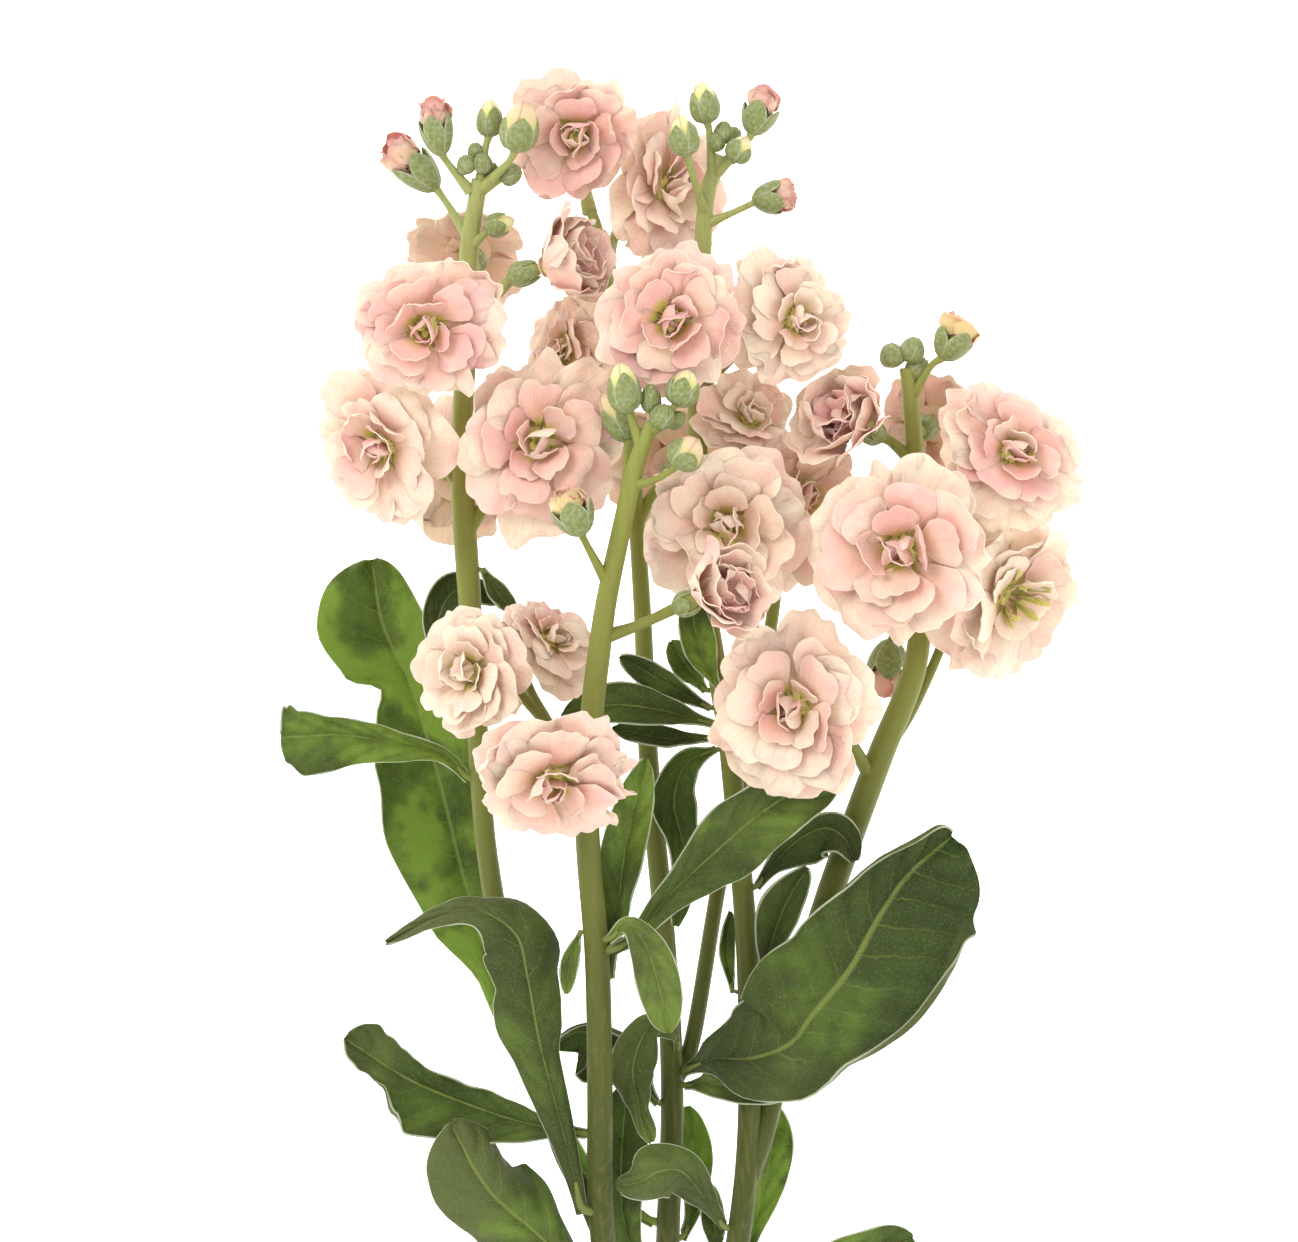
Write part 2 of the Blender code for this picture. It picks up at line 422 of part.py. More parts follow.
def clean(mesh):
    """Keep the outer skin of the largest body, in triangles with no slivers."""
    shell = bmesh.new()
    shell.from_mesh(mesh)
    bmesh.ops.remove_doubles(shell, verts=shell.verts, dist=0.004 * MM)
    bmesh.ops.triangulate(shell, faces=shell.faces)
    bmesh.ops.dissolve_degenerate(shell, edges=shell.edges, dist=0.004 * MM)
    bmesh.ops.triangulate(shell, faces=shell.faces)
    left = set(shell.verts)
    islands = []
    while left:
        island = {left.pop()}
        edge_of_island = list(island)
        while edge_of_island:
            vert = edge_of_island.pop()
            for edge in vert.link_edges:
                other = edge.other_vert(vert)
                if other not in island:
                    island.add(other)
                    edge_of_island.append(other)
        left -= island
        islands.append(island)
    islands.sort(key=len)
    loose = [vert for island in islands[:-1] for vert in island]
    bmesh.ops.delete(shell, geom=loose, context="VERTS")
    shell.to_mesh(mesh)
    shell.free()


def bloom(number, collection):
    """A double bloom: petals in layers that grow from the bands of a small core."""
    middle, radius, faces, layers, kind = BLOOMS[number][:5]
    draw = random.Random(102 + number)
    middle = Vector(middle)
    axis = Vector(faces).normalized()
    start = axis.cross(Vector((0.31, 0.95, 0.1))).normalized()
    turn = draw.uniform(0, math.tau)
    place = [None, middle, radius, neighbours(number)]
    shell = bmesh.new()
    bmesh.ops.create_circle(shell, cap_ends=True, segments=CORE_SIDES, radius=1)
    top = shell.faces[:][0]
    bands = []
    for ring, (ring_radius, height) in enumerate(OPEN_RINGS if layers is OPEN_LAYERS else CUPPED_RINGS):
        if ring:
            older = set(shell.faces)
            top = bmesh.ops.extrude_discrete_faces(shell, faces=[top])["faces"][0]
            bands.append([side for side in shell.faces if side not in older and side is not top])
        for corner, vert in enumerate(top.verts):
            angle = turn + math.tau * corner / CORE_SIDES
            outward = start * math.cos(angle) + axis.cross(start) * math.sin(angle)
            vert.co = (middle + (outward * ring_radius + axis * height) * radius) * MM
    bmesh.ops.contextual_create(shell, geom=[edge for edge in shell.edges if edge.is_boundary])
    for layer, band in zip(layers, bands):
        swing = draw.uniform(-0.04, 0.04) + LAYER_TURN * layers.index(layer)
        for face in (band if layer[0] == CORE_SIDES else band[0:2 * layer[0]:2]):
            outward = face.calc_center_median() / MM - middle
            outward = (outward - axis * outward.dot(axis)).normalized()
            lean = swing + draw.uniform(-0.02, 0.02)
            outward = outward * math.cos(lean) + axis.cross(outward) * math.sin(lean)
            place[0] = Matrix((outward, axis.cross(outward), axis)).transposed()
            grow_petal(shell, face, layer, place, draw)
    bmesh.ops.triangulate(shell, faces=shell.faces)
    bmesh.ops.recalc_face_normals(shell, faces=shell.faces)
    mesh = bpy.data.meshes.new("bloom")
    shell.to_mesh(mesh)
    shell.free()
    body = place_mesh(f"bloom_{number + 1:02d}", mesh, collection)
    body.data.materials.append(material(kind))


def stem(scratch, collection):
    """Everything green that grew as one: shoots, flower stalks, calyces and closed buds."""
    pieces = [tube(points, 2 if name == "lower_stem" else 1, scratch) for name, points in SHOOTS.items()]
    for middle, radius, faces, layers, _, stalk in BLOOMS:
        axis = Vector(faces).normalized()
        size = min(1, 0.45 + radius / 26)
        cup_middle = Vector(middle) - axis * (CUP_GAP + size * CUP_LENGTH / 2)
        cup_foot = Vector(middle) - axis * (CUP_GAP + size * CUP_LENGTH * 0.92)
        pieces.append(pod(cup_middle, size * CUP_LENGTH, size * CUP_RADIUS, axis, scratch))
        route = [Vector(point) for point in stalk] + [cup_foot]
        pieces.append(tube([(*point, STALK_RADIUS) for point in route], 0, scratch))
    for middle, length, radius, points_to, stalk in BUDS:
        pieces.append(pod(middle, length, radius, points_to, scratch))
        if stalk:
            foot = Vector(middle) - Vector(points_to).normalized() * length * 0.4
            route = [Vector(point) for point in stalk] + [foot]
            pieces.append(tube([(*point, BUD_STALK_RADIUS) for point in route], 0, scratch))
    return fuse("stem", pieces, scratch, collection, "stem")


def smooth_route(points, count):
    """Evenly spaced points, with their directions, on a smooth curve through the given points."""
    knots = [Vector(point) for point in points]
    knots = [2 * knots[0] - knots[1]] + knots + [2 * knots[-1] - knots[-2]]
    fine = []
    for a, b, c, d in zip(knots, knots[1:], knots[2:], knots[3:]):
        for step in range(12):
            t = step / 12
            fine.append(0.5 * (2 * b + (c - a) * t + (2 * a - 5 * b + 4 * c - d) * t * t
                               + (3 * b - a - 3 * c + d) * t * t * t))
    fine.append(knots[-2])
    lengths = [0]
    for a, b in zip(fine, fine[1:]):
        lengths.append(lengths[-1] + (b - a).length)
    route = []
    at = 0
    for step in range(count + 1):
        want = lengths[-1] * step / count
        while at < len(fine) - 2 and lengths[at + 1] < want:
            at += 1
        share = (want - lengths[at]) / max(lengths[at + 1] - lengths[at], 1e-9)
        route.append((fine[at].lerp(fine[at + 1], share), (fine[at + 1] - fine[at]).normalized()))
    return route


def blade_half_width(share, half_width, widest, base):
    """Half width of a leaf along its length: a narrow stalk, then a blade with a round end."""
    if share < widest:
        rise = share / widest
        return base + (half_width - base) * rise * rise * (3 - 2 * rise)
    end = (share - widest) / (1 - widest)
    return half_width * math.sqrt(1 - 0.88 * end * end)


def keep_off_shoots(spot):
    """Move a point of a leaf out to the skin of a shoot that it would enter."""
    for points in SHOOTS.values():
        for start, end in zip(points, points[1:]):
            foot, along = Vector(start[:3]), Vector(end[:3]) - Vector(start[:3])
            share = min(1, max(0, (spot - foot).dot(along) / along.length_squared))
            nearest = foot + along * share
            clear = start[3] + (end[3] - start[3]) * share + LEAF_THICKNESS / 2 + LEAF_GAP
            away = spot - nearest
            if away.length < clear:
                spot = nearest + away.normalized() * clear
    return spot


def leaf(number, scratch, collection):
    """A leaf: a sheet along its midrib, folded, waved and then given its thickness."""
    points, half_width, widest, base, faces_base, faces_tip, fold, rows = LEAVES[number]
    draw = random.Random(500 + number)
    phase = draw.uniform(0, math.tau)
    columns = 4 if half_width > 8 else 2
    route = smooth_route(points, rows)
    blade = bmesh.new()
    bmesh.ops.create_grid(blade, x_segments=rows, y_segments=columns, size=1)
    for vert in blade.verts:
        row = round((vert.co.x + 1) / 2 * rows)
        across = vert.co.y
        share = row / rows
        spot, along = route[row]
        faces = Vector(faces_base).lerp(Vector(faces_tip), share)
        sideways = faces.cross(along).normalized()
        upward = along.cross(sideways).normalized()
        width = blade_half_width(share, half_width, widest, base)
        bend = math.radians(fold)
        wave = math.sin(share * 11 + phase + (1.3 if across > 0 else 0)) * min(1, share * 2)
        wave *= 0.09 * half_width
        spot = spot + sideways * width * across * math.cos(bend * abs(across))
        spot = spot + upward * (width * abs(across) * math.sin(bend) * abs(across) + wave * across * across)
        vert.co = keep_off_shoots(spot) * MM
    piece = blade_solid(blade, LEAF_THICKNESS, scratch)
    piece.name = f"leaf_{number + 1:02d}"
    scratch.objects.unlink(piece)
    collection.objects.link(piece)
    piece.data.materials.append(material("leaf"))
    return piece


def main():
    for old in list(bpy.data.objects):
        bpy.data.objects.remove(old)
    collection = bpy.data.collections.new(COLLECTION)
    scratch = bpy.data.collections.new("scratch")
    bpy.context.scene.collection.children.link(collection)
    bpy.context.scene.collection.children.link(scratch)
    stem(scratch, collection)
    for number in range(len(BLOOMS)):
        bloom(number, collection)
    for number in range(len(LEAVES)):
        leaf(number, scratch, collection)
    bpy.data.collections.remove(scratch)


main()
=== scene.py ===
"""Looks of a cut stock stem: ruffled double blooms, felted leaves, buds and shoots, seen from above.

Sizes and places in the tables are millimetres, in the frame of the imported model.
"""
import math
import random

import bpy
import numpy as np
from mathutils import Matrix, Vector


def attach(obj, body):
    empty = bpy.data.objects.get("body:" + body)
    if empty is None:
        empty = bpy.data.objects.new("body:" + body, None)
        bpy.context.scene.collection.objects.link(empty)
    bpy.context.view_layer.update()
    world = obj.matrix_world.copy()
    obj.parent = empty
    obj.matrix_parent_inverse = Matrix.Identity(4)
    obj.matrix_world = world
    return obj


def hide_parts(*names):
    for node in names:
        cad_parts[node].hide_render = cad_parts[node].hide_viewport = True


bl_info = {
    "name": "Stock flower stem",
    "version": (1, 0, 0),
    "blender": (4, 5, 0),
    "location": "3D View > Sidebar > Flower",
    "description": "Dresses a cut stem of double stock flowers",
    "category": "Object",
}

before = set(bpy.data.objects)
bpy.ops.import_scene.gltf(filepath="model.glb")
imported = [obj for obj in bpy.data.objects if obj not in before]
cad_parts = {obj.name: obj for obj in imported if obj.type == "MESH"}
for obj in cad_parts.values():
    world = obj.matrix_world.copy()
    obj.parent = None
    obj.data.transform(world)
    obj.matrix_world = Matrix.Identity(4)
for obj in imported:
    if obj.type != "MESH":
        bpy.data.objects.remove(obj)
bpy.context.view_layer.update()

MM = 0.001
STEM_RADIUS = 4.5
STEM_SIDES = 8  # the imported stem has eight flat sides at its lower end
LIE_HEIGHT = STEM_RADIUS * math.cos(math.pi / STEM_SIDES)
PRESS_GAP = 1.6  # left free between blooms that press on each other
CUP_LENGTH = 10.0
CUP_RADIUS = 3.0
CUP_GAP = 0.45
LEAF_THICKNESS = 0.8
LEAF_GAP = 0.35
PETAL_GAP = 0.3  # between a petal and the skin of a shoot
TABLE_GAP = 0.2  # between petals or sepals and the table
BUD_WALL = 0.3
SEPAL_WALL = 0.22
WELD_DISTANCE = 0.01
SMOOTH_ANGLE = 65  # degrees
CURVE_STEPS = 12
BEND_STEPS = 20
CLAW_SCALE = 18.0  # what counts as 1 along a petal in its place attribute

# Seeds of the random draws, so that every petal, leaf and bud keeps its form
BLOOM_SEED = 299
WAVE_SEED = 499
PATCH_SEED = 699
SEPAL_SEED = 41
BUD_SEED = 87

# Directions that no bloom and no bud points in, from which their other axes are worked out
BLOOM_HINT = (0.31, 0.95, 0.1)
BUD_HINT = (0.31, 0.2, 0.9)

# Grids of the sheets, as faces along and across
THROAT_GRID = (8, 20)
LEAF_GRID = (48, 14)
FORMED_LEAF_GRID = (64, 24)
SEPAL_GRID = (9, 7)
POD_GRID = (14, 16)

# What makes every petal its own: how far it strays, in degrees or as a share, and how many do what
RISE_STRAY = (-8, 8)
FALL_STRAY = (-16, 14)
CUP_STRAY = (-14, 14)
LENGTH_STRAY = (0.88, 1.04)
SIDE_CURL = (-0.9, 0.9)
OPEN_STRAY = (-10, 10)  # of a whole bloom
CURLED_TIPS = 0.22  # share of petals whose tip curls over
PALE_PETALS = 0.15  # share of petals that are pale all over
PALE = 0.3
ROW_TURN = 0.6  # radians from one row of petals to the next
BUD_ROW_TURN = 0.7
TUFT_CLAW = 0.3  # strands of a tuft have throat colour over most of their length
THROAT_WIDTH = {"open": 0.38, "cupped": 0.2}

# Radii of a stalk at its start, on its way and at its end
BLOOM_STALK = (1.9, 1.25, 1.4)
BUD_STALK = (1.5, 0.85, 1.1)

# Where sepals end, from -1 at the foot of a calyx or bud to 1 at its tip
CALYX_TOP = 0.72
OPEN_BUD_TOP = 0.55
CLOSED_BUD_TOP = 0.985

# Centre lines of the shoots: x, y, z and radius
SHOOTS = {
    "lower_stem": [(0, 0, LIE_HEIGHT, STEM_RADIUS), (0, 20, LIE_HEIGHT, STEM_RADIUS),
        (0, 40, LIE_HEIGHT, STEM_RADIUS), (0.6, 60, 5.2, 4.3), (1, 78, 7.6, 4.2), (0.8, 95, 11, 4.1)],
    "front_shoot": [(0.6, 88, 9.6, 3.2), (-5, 115, 22, 3.1), (-12, 150, 40, 3.1), (-14.4, 175, 52, 3.1),
        (-14.4, 199, 62, 3.1), (-15, 233, 71, 3), (-17.3, 264, 77, 2.9), (-16.3, 290, 81, 2.8),
        (-14.4, 307, 83, 2.7), (-12.7, 319, 84, 2.5), (-9.1, 336, 86, 2.3), (-6, 350, 87, 2.1),
        (-3.6, 357, 87.5, 1.9), (-2, 361, 88, 1.8)],
    "left_shoot": [(-14.3, 166, 47.6, 2.3), (-18, 175, 48, 2.4), (-24, 187, 47, 2.4),
        (-31, 211, 46, 2.5), (-37.2, 232.6, 45, 2.5), (-42, 259, 45, 2.5), (-44.6, 295, 45, 2.6),
        (-46, 319, 46, 2.8), (-47.3, 338, 46, 2.9), (-47.8, 352.6, 46, 2.8), (-47.5, 367, 47, 2.6),
        (-46.6, 384, 48, 2.5), (-46, 404, 50, 2.3), (-43.4, 420.3, 53, 2)],
    "middle_shoot": [(0.7, 92, 10.4, 3), (1, 130, 18, 3), (2, 165, 27, 2.9), (3, 200, 31, 2.8),
        (1, 239, 33, 2.6), (-2.7, 280, 35, 2.4), (-4.4, 319, 36, 2.1), (-8, 365, 38, 1.8),
        (-14, 404, 40, 1.4), (-17, 414, 40, 1.3)],
    "right_shoot": [(0.6, 85, 9, 3.2), (8, 120, 19, 3.1), (16, 150, 31, 3), (19.2, 165, 37, 2.9),
        (21.6, 192, 42, 2.8), (21.1, 234, 45, 2.7), (17, 281, 48, 2.5), (15, 295, 49, 2.5),
        (11, 319, 50, 2.5), (9, 343, 50, 2.6), (9.3, 367, 51, 2.6), (9.8, 385, 52, 2.4),
        (11, 414, 55, 2), (14.5, 426, 57, 1.9)],
    "outer_shoot": [(20.4, 176, 39, 2.6), (25, 190, 40, 2.9), (31, 215, 39, 3.1), (37, 235, 40, 3.2),
        (43.3, 254, 42, 3.3), (53.4, 281.6, 45, 3.2), (61.4, 302, 47, 2.9), (63, 320, 48, 2.6),
        (62.5, 340, 49, 2.4), (60.5, 367, 51, 2), (59.5, 375, 52, 1.8)],
    "inner_shoot": [(3.2, 201, 31, 2), (8, 212, 29, 2), (14.4, 249.4, 26, 1.9), (20.5, 277, 25, 1.8),
        (27, 312, 26, 1.6), (29.5, 334, 31, 1.5)],
}

# Rows of petals: how many, length, half angle of the fan (degrees), rise at the claw and at the tip
# (degrees), where the claw sits out from and up the axis, cup (degrees), ruffle, and grid of the petal
OPEN_ROWS = [
    (5, 1.06, 44, 18, -26, 0.12, 0.02, -10, 1.2, (14, 22)),
    (5, 1.0, 42, 30, -14, 0.13, 0.06, -8, 1.0, (13, 22)),
    (5, 0.86, 40, 36, -2, 0.16, 0.11, -12, 0.6, (12, 18)),
    (5, 0.68, 40, 44, 10, 0.16, 0.15, -14, 0.5, (11, 16)),
    (4, 0.5, 44, 48, 52, 0.12, 0.16, 30, 0.8, (10, 14)),
    (4, 0.42, 44, 62, 116, 0.06, 0.15, 65, 0.9, (10, 12)),
]
CUPPED_ROWS = [
    (5, 1.36, 42, 36, 80, 0.17, 0.03, 25, 0.8, (13, 20)),
    (5, 1.32, 40, 44, 86, 0.15, 0.06, 25, 0.8, (12, 18)),
    (5, 1.14, 36, 56, 88, 0.12, 0.09, 35, 0.8, (11, 15)),
    (4, 1.0, 34, 66, 80, 0.08, 0.11, 45, 0.9, (10, 13)),
    (3, 0.84, 32, 78, 84, 0.04, 0.12, 60, 1.0, (9, 12)),
]

# Petals that push out of a ripe bud, as rows of a bloom whose radius is the bud's
BUD_ROWS = [
    (4, 2.0, 46, 50, 120, 0.46, -0.1, 60, 0.7, (10, 10)),
    (4, 1.95, 44, 60, 126, 0.36, 0, 70, 1.0, (10, 10)),
    (3, 1.95, 42, 74, 124, 0.2, 0, 85, 1.4, (9, 9)),
]
RIPE = 0.3  # a bud more open than this has crumpled petals

# How much a bud narrows towards its tip: a closed one, and a ripe one that widens instead
BUD_TAPER = 0.22
RIPE_TAPER = -0.2

# Place attribute of green parts: how much of a sepal, where across it and towards its tip
PLAIN_STEM = (0, 0.5, 0, 1)
BUD_BODY = (0.35, 0.5, 0, 1)

# The tuft of narrow yellow-green strands in the throat of a few blooms
TUFT_ROW = (11, 0.44, 8, 50, 62, 0.08, 0.13, 10, 0.2, (10, 3))
TUFTED = (18,)

# Blooms by number: half open ones with cupped petals, and ones behind the others with coarser petals
CUPPED = (5, 11, 13)
BEHIND = (3, 23, 24, 25, 26)
BEHIND_GRID = 0.7

# The shape that a bloom fills: distance out from its axis and up along it, as shares of its radius
OPEN_PROFILE = [(1.04, 0.04), (1.02, 0.22), (0.8, 0.62), (0.38, 0.82), (0, 0.7), (0.1, 0)]
CUPPED_PROFILE = [(0.85, 1.35), (0.6, 0.6), (0.3, 1.42), (0.1, 0)]

# Blooms: middle of the throat, radius, which way it faces, pinkness outside and inside, slot, and the
# stalk from the shoot to the calyx
BLOOMS = [
    ((-20.4, 431.8, 48.5), 16.5, (0.05, -0.2, 0.97), (0.5, 1), "pink", [(-17, 413, 40), (-19.5, 425, 35)]),
    ((0, 418.6, 37), 18.6, (0.62, 0.1, 0.75), (0.25, 0.7), "peach", [(-12.2, 394, 39.4), (-11.5, 406, 32)]),
    ((-46.8, 403.7, 29), 15, (-0.2, 0.35, -0.9), (0.4, 0.8), "pink", [(-46.5, 388, 48), (-45.5, 394, 43)]),
    ((-55.2, 383.8, 74), 18, (-0.15, -0.1, 0.97), (0.55, 1), "pink", [(-47.5, 369, 47), (-50, 378, 56)]),
    ((-28, 399, 58), 12.5, (0.85, 0.25, 0.45), (0.5, 0.9), "pink", [(-46.5, 388, 48.2), (-40, 392, 50)]),
    ((2.9, 385.7, 79), 17, (0, -0.05, 1), (0.6, 1), "pink", [(9.4, 372, 51.2), (6, 381, 58)]),
    ((31.9, 385.7, 67.5), 17.3, (0.35, 0, 0.93), (0.1, 0.3), "cream", [(9.4, 370, 51), (20, 380, 51)]),
    ((-65.3, 355.7, 62), 19, (-0.45, -0.1, 0.87), (0.3, 0.6), "cream", [(-47.6, 346, 46), (-54, 353, 46)]),
    ((-29.5, 357, 67), 20, (0.05, 0, 1), (0.25, 0.95), "peach", [(-46.9, 335, 46), (-37, 350, 47)]),
    ((-22.5, 380, 42), 14, (-0.5, 0, 0.85), (0.2, 0.5), "peach", [(-8.5, 368, 38), (-13, 378, 33)]),
    ((47.9, 361.4, 60), 13.2, (-0.5, 0.3, 0.8), (0.5, 1), "pink", [(61.5, 352, 49.5), (56, 357, 51)]),
    ((15.6, 337, 70), 19, (0, -0.05, 1), (0.25, 0.3), "peach", [(10.6, 323, 50), (15, 334, 53)]),
    ((10, 319.5, 91), 12, (0.65, 0.25, 0.7), (0.5, 0.9), "pink", [(-13.8, 310, 83.3), (-5, 313, 81)]),
    ((32.9, 344.8, 47), 16, (0.3, 0, 0.95), (0.2, 0.4), "peach", [(29.4, 333, 30.8), (29.6, 341, 34)]),
    ((21.4, 361, 56.5), 13.6, (0.3, 0.5, 0.8), (0.25, 0.5), "peach", [(9, 345, 50), (14, 351, 46)]),
    ((57.6, 331, 78), 21.5, (-0.1, -0.05, 0.98), (0.05, 0.95), "cream",
     [(62.9, 316, 47.8), (60.5, 328, 55)]),
    ((84, 354.5, 64), 19, (0.25, 0.1, 0.96), (0.15, 0.9), "pink", [(62.4, 341, 49), (73, 351, 48)]),
    ((81.6, 321, 56), 19, (0.57, -0.36, 0.73), (0.1, 0.15), "cream",
     [(53.6, 282, 45), (60.5, 291, 41), (67.5, 306, 40), (73, 321, 43)]),
    ((-43.7, 301.7, 74), 15, (-0.55, 0.1, 0.8), (0.3, 0.1), "cream",
     [(-17.1, 278, 79), (-26, 288, 72), (-34, 297, 67)]),
    ((-27.6, 309, 66), 14, (0.55, 0.4, 0.7), (0.35, 0.4), "peach", [(-27, 289, 71.3), (-31.5, 298, 62)]),
    ((-25.7, 277.7, 94), 18.5, (0.05, -0.6, 0.8), (0.3, 0.6), "peach", [(-17, 281, 79.6), (-24, 285, 83)]),
    ((32.9, 293.8, 73), 20, (-0.25, -0.1, 0.95), (0.3, 0.6), "peach", [(51.2, 276, 44.6), (43, 289, 56)]),
    ((66, 362, 35), 12, (0.3, 0.2, -0.9), (0.5, 0.8), "pink", [(61.2, 356, 50), (62, 359, 47)]),
    ((-50, 350, 15.16), 18, (-0.2, -0.1, -0.97), (0.3, 0.6), "peach", [(-47, 334, 46), (-48.5, 345, 37)]),
    ((4, 351, 18), 17, (0.1, 0.2, -0.97), (0.3, 0.6), "peach", [(-5.5, 338, 37), (-1, 346, 35)]),
    ((70, 330, 16.64), 18, (0.3, -0.2, -0.93), (0.2, 0.5), "cream", [(63, 316, 47.7), (66, 326, 38)]),
]

# Blooms that are not quite round, by number: a direction, and how far they reach that way as a share
UNEVEN = {
    1: [((0.1, 1, 0), 0.86), ((0, -1, 0), 1.06)],
    2: [((-0.2, 1, 0), 1.12), ((1, -0.2, 0), 0.92)],
    3: [((0.45, 0.9, 0), 0.68), ((-0.3, 1, 0), 0.85)],
    4: [((-0.5, 0.85, 0), 0.84)],
    7: [((0.8, 0.6, 0), 0.74), ((-1, 0.4, 0), 1.12)],
    8: [((-0.8, -0.5, 0), 0.83), ((-0.3, 1, 0), 1.12)],
    9: [((0.2, -1, 0), 1.08)],
    10: [((-1, 0.3, 0), 0.62)],
    11: [((-0.8, 0.6, 0), 1.3), ((-0.6, -0.8, 0), 1.15)],
    14: [((-0.1, -1, 0), 1.35)],
    17: [((0.45, 0.9, 0), 0.72), ((1, 0.35, 0), 0.9), ((0.8, -0.6, 0), 1.06)],
    18: [((0.8, 0.6, 0), 1.06), ((0.5, -0.8, 0), 1.06)],
    20: [((0.3, 1, 0), 0.68)],
    21: [((-0.2, -1, 0), 0.86)],
    22: [((1, 0, 0), 0.86), ((0, 1, 0), 1.05)],
    24: [((-0.3, -1, 0), 0.84)],
}

# Closed buds: middle, length, radius, which way it points, the stalk up to it, the colour of the
# petals at its tip (none on the youngest) and how far it has opened
BUDS = [
    ((-53.8, 432.3, 56), 13.2, 3.6, (-0.2, 0.98, 0), [(-45.6, 417.4, 52.6), (-50.9, 424, 54)], "pink", 0.35),
    ((-41, 435, 54), 9.2, 2.8, (0.05, 1, 0), [(-43.2, 420, 53), (-42, 428, 53.6)], "yellow", 0),
    ((-59.3, 423.8, 48), 16, 4.4, (-0.7, 0.7, 0), [(-45.8, 406, 50.3), (-51.6, 415, 48.5)], "pink", 0.5),
    ((-33.6, 432.2, 63), 12, 4.3, (0.2, 0.96, 0.15), [(-43.2, 418, 53), (-36.6, 424, 59)], "peach", 0.25),
    ((55.6, 303, 32), 14, 4.8, (-0.1, -0.95, -0.3), [(62, 311, 47.5), (58.5, 314, 38)], "pink", 0.5),
    ((-46.6, 423.9, 54.5), 4.6, 2.2, (-0.5, 0.8, 0.2), [], "", 0),
    ((-44.4, 427.2, 53), 4.2, 1.7, (-0.2, 1, 0), [], "", 0),
    ((-42.6, 424.2, 55.5), 5, 2, (0, 0.9, 0.4), [], "", 0),
    ((-41, 422.3, 51.5), 5, 2, (0.4, 0.9, -0.2), [], "", 0),
    ((-36, 421.7, 53.5), 5.6, 2.5, (0.9, 0.3, 0), [(-42.6, 418, 53), (-39, 420, 53.3)], "", 0),
    ((-38.6, 409.5, 53.5), 7.2, 2.7, (0.95, 0.3, 0.1), [(-45, 405, 51), (-42, 407.6, 52.5)], "yellow", 0),
    ((10.6, 438.3, 60), 10, 3.2, (-0.15, 1, 0), [(12.8, 420, 56.5), (11.9, 431, 58.5)], "yellow", 0.1),
    ((5.5, 430, 67), 10, 3.3, (-0.2, 0.97, 0.2), [(10.9, 411.4, 54.6), (8.4, 419, 61.5)], "yellow", 0),
    ((24, 436.1, 59), 11.5, 4, (0.35, 0.93, 0), [(14.4, 423.4, 57), (20, 428, 58)], "pink", 0.5),
    ((19.2, 427.2, 61), 6.8, 3, (0.5, 0.8, 0.2), [(14, 422, 57), (16.5, 424, 59)], "yellow", 0),
    ((15.2, 431.4, 57.5), 5.6, 2.1, (0.1, 1, 0), [], "", 0),
    ((13.4, 429, 59), 4.6, 1.9, (-0.3, 0.9, 0.3), [], "", 0),
    ((17.4, 430.8, 55.5), 4.6, 2, (0.6, 0.8, -0.2), [], "", 0),
    ((27.4, 415.8, 57), 10.5, 3.7, (0.97, 0.1, 0), [(11, 409.5, 54.6), (17, 412, 56), (23, 414.8, 57)],
     "pink", 0.5),
    ((-8.6, 369, 89), 11.8, 3.7, (-0.15, 0.98, 0), [(-4.4, 355, 87.4), (-7.3, 363.2, 88.5)], "yellow", 0.1),
    ((5.5, 369, 89), 9, 3.5, (0.3, 0.95, 0), [(-2, 359, 88), (3.6, 365, 88.8)], "yellow", 0),
    ((-2.2, 366.6, 87), 7, 2.1, (-0.05, 1, 0), [], "", 0),
    ((0.6, 362.4, 90), 6, 2.6, (0.4, 0.8, 0.4), [], "", 0),
    ((3.8, 361.6, 86.5), 5, 1.9, (0.8, 0.6, 0), [(-2.6, 358.6, 87.6), (1.6, 360.6, 87)], "", 0),
    ((6.2, 353.6, 93), 8.4, 4, (0.6, 0.75, 0.2), [(-6.9, 346, 86.7), (-1, 347.5, 89.5), (2.6, 349.6, 91.5)],
     "peach", 0.1),
    ((-20.4, 339.4, 92), 11.5, 4.6, (-0.35, 0.93, 0), [(-12, 322, 84.2), (-17.4, 332, 89)], "dry", 0.4),
    ((-10.4, 362.5, 77), 13, 3.2, (-0.5, 0.85, 0), [(-8, 340, 86), (-8, 352, 81)], "peach", 0.1),
    ((55.9, 378, 53), 6, 2.7, (-0.3, 0.95, 0), [], "", 0),
    ((60.8, 379.3, 53.5), 6.4, 2.7, (0.3, 0.95, 0), [], "", 0),
    ((62.2, 375, 51), 6, 2.5, (0.7, 0.7, 0), [], "", 0),
    ((70.6, 381.6, 56), 11, 4.4, (0.5, 0.85, 0), [(60.4, 367.1, 51), (65, 375, 54)], "dry", 0.45),
    ((-14.6, 405.4, 45), 7, 3.2, (0.1, 0.9, 0.4), [(-13, 398, 39.8), (-14, 401.5, 43)], "dry", 0.1),
]

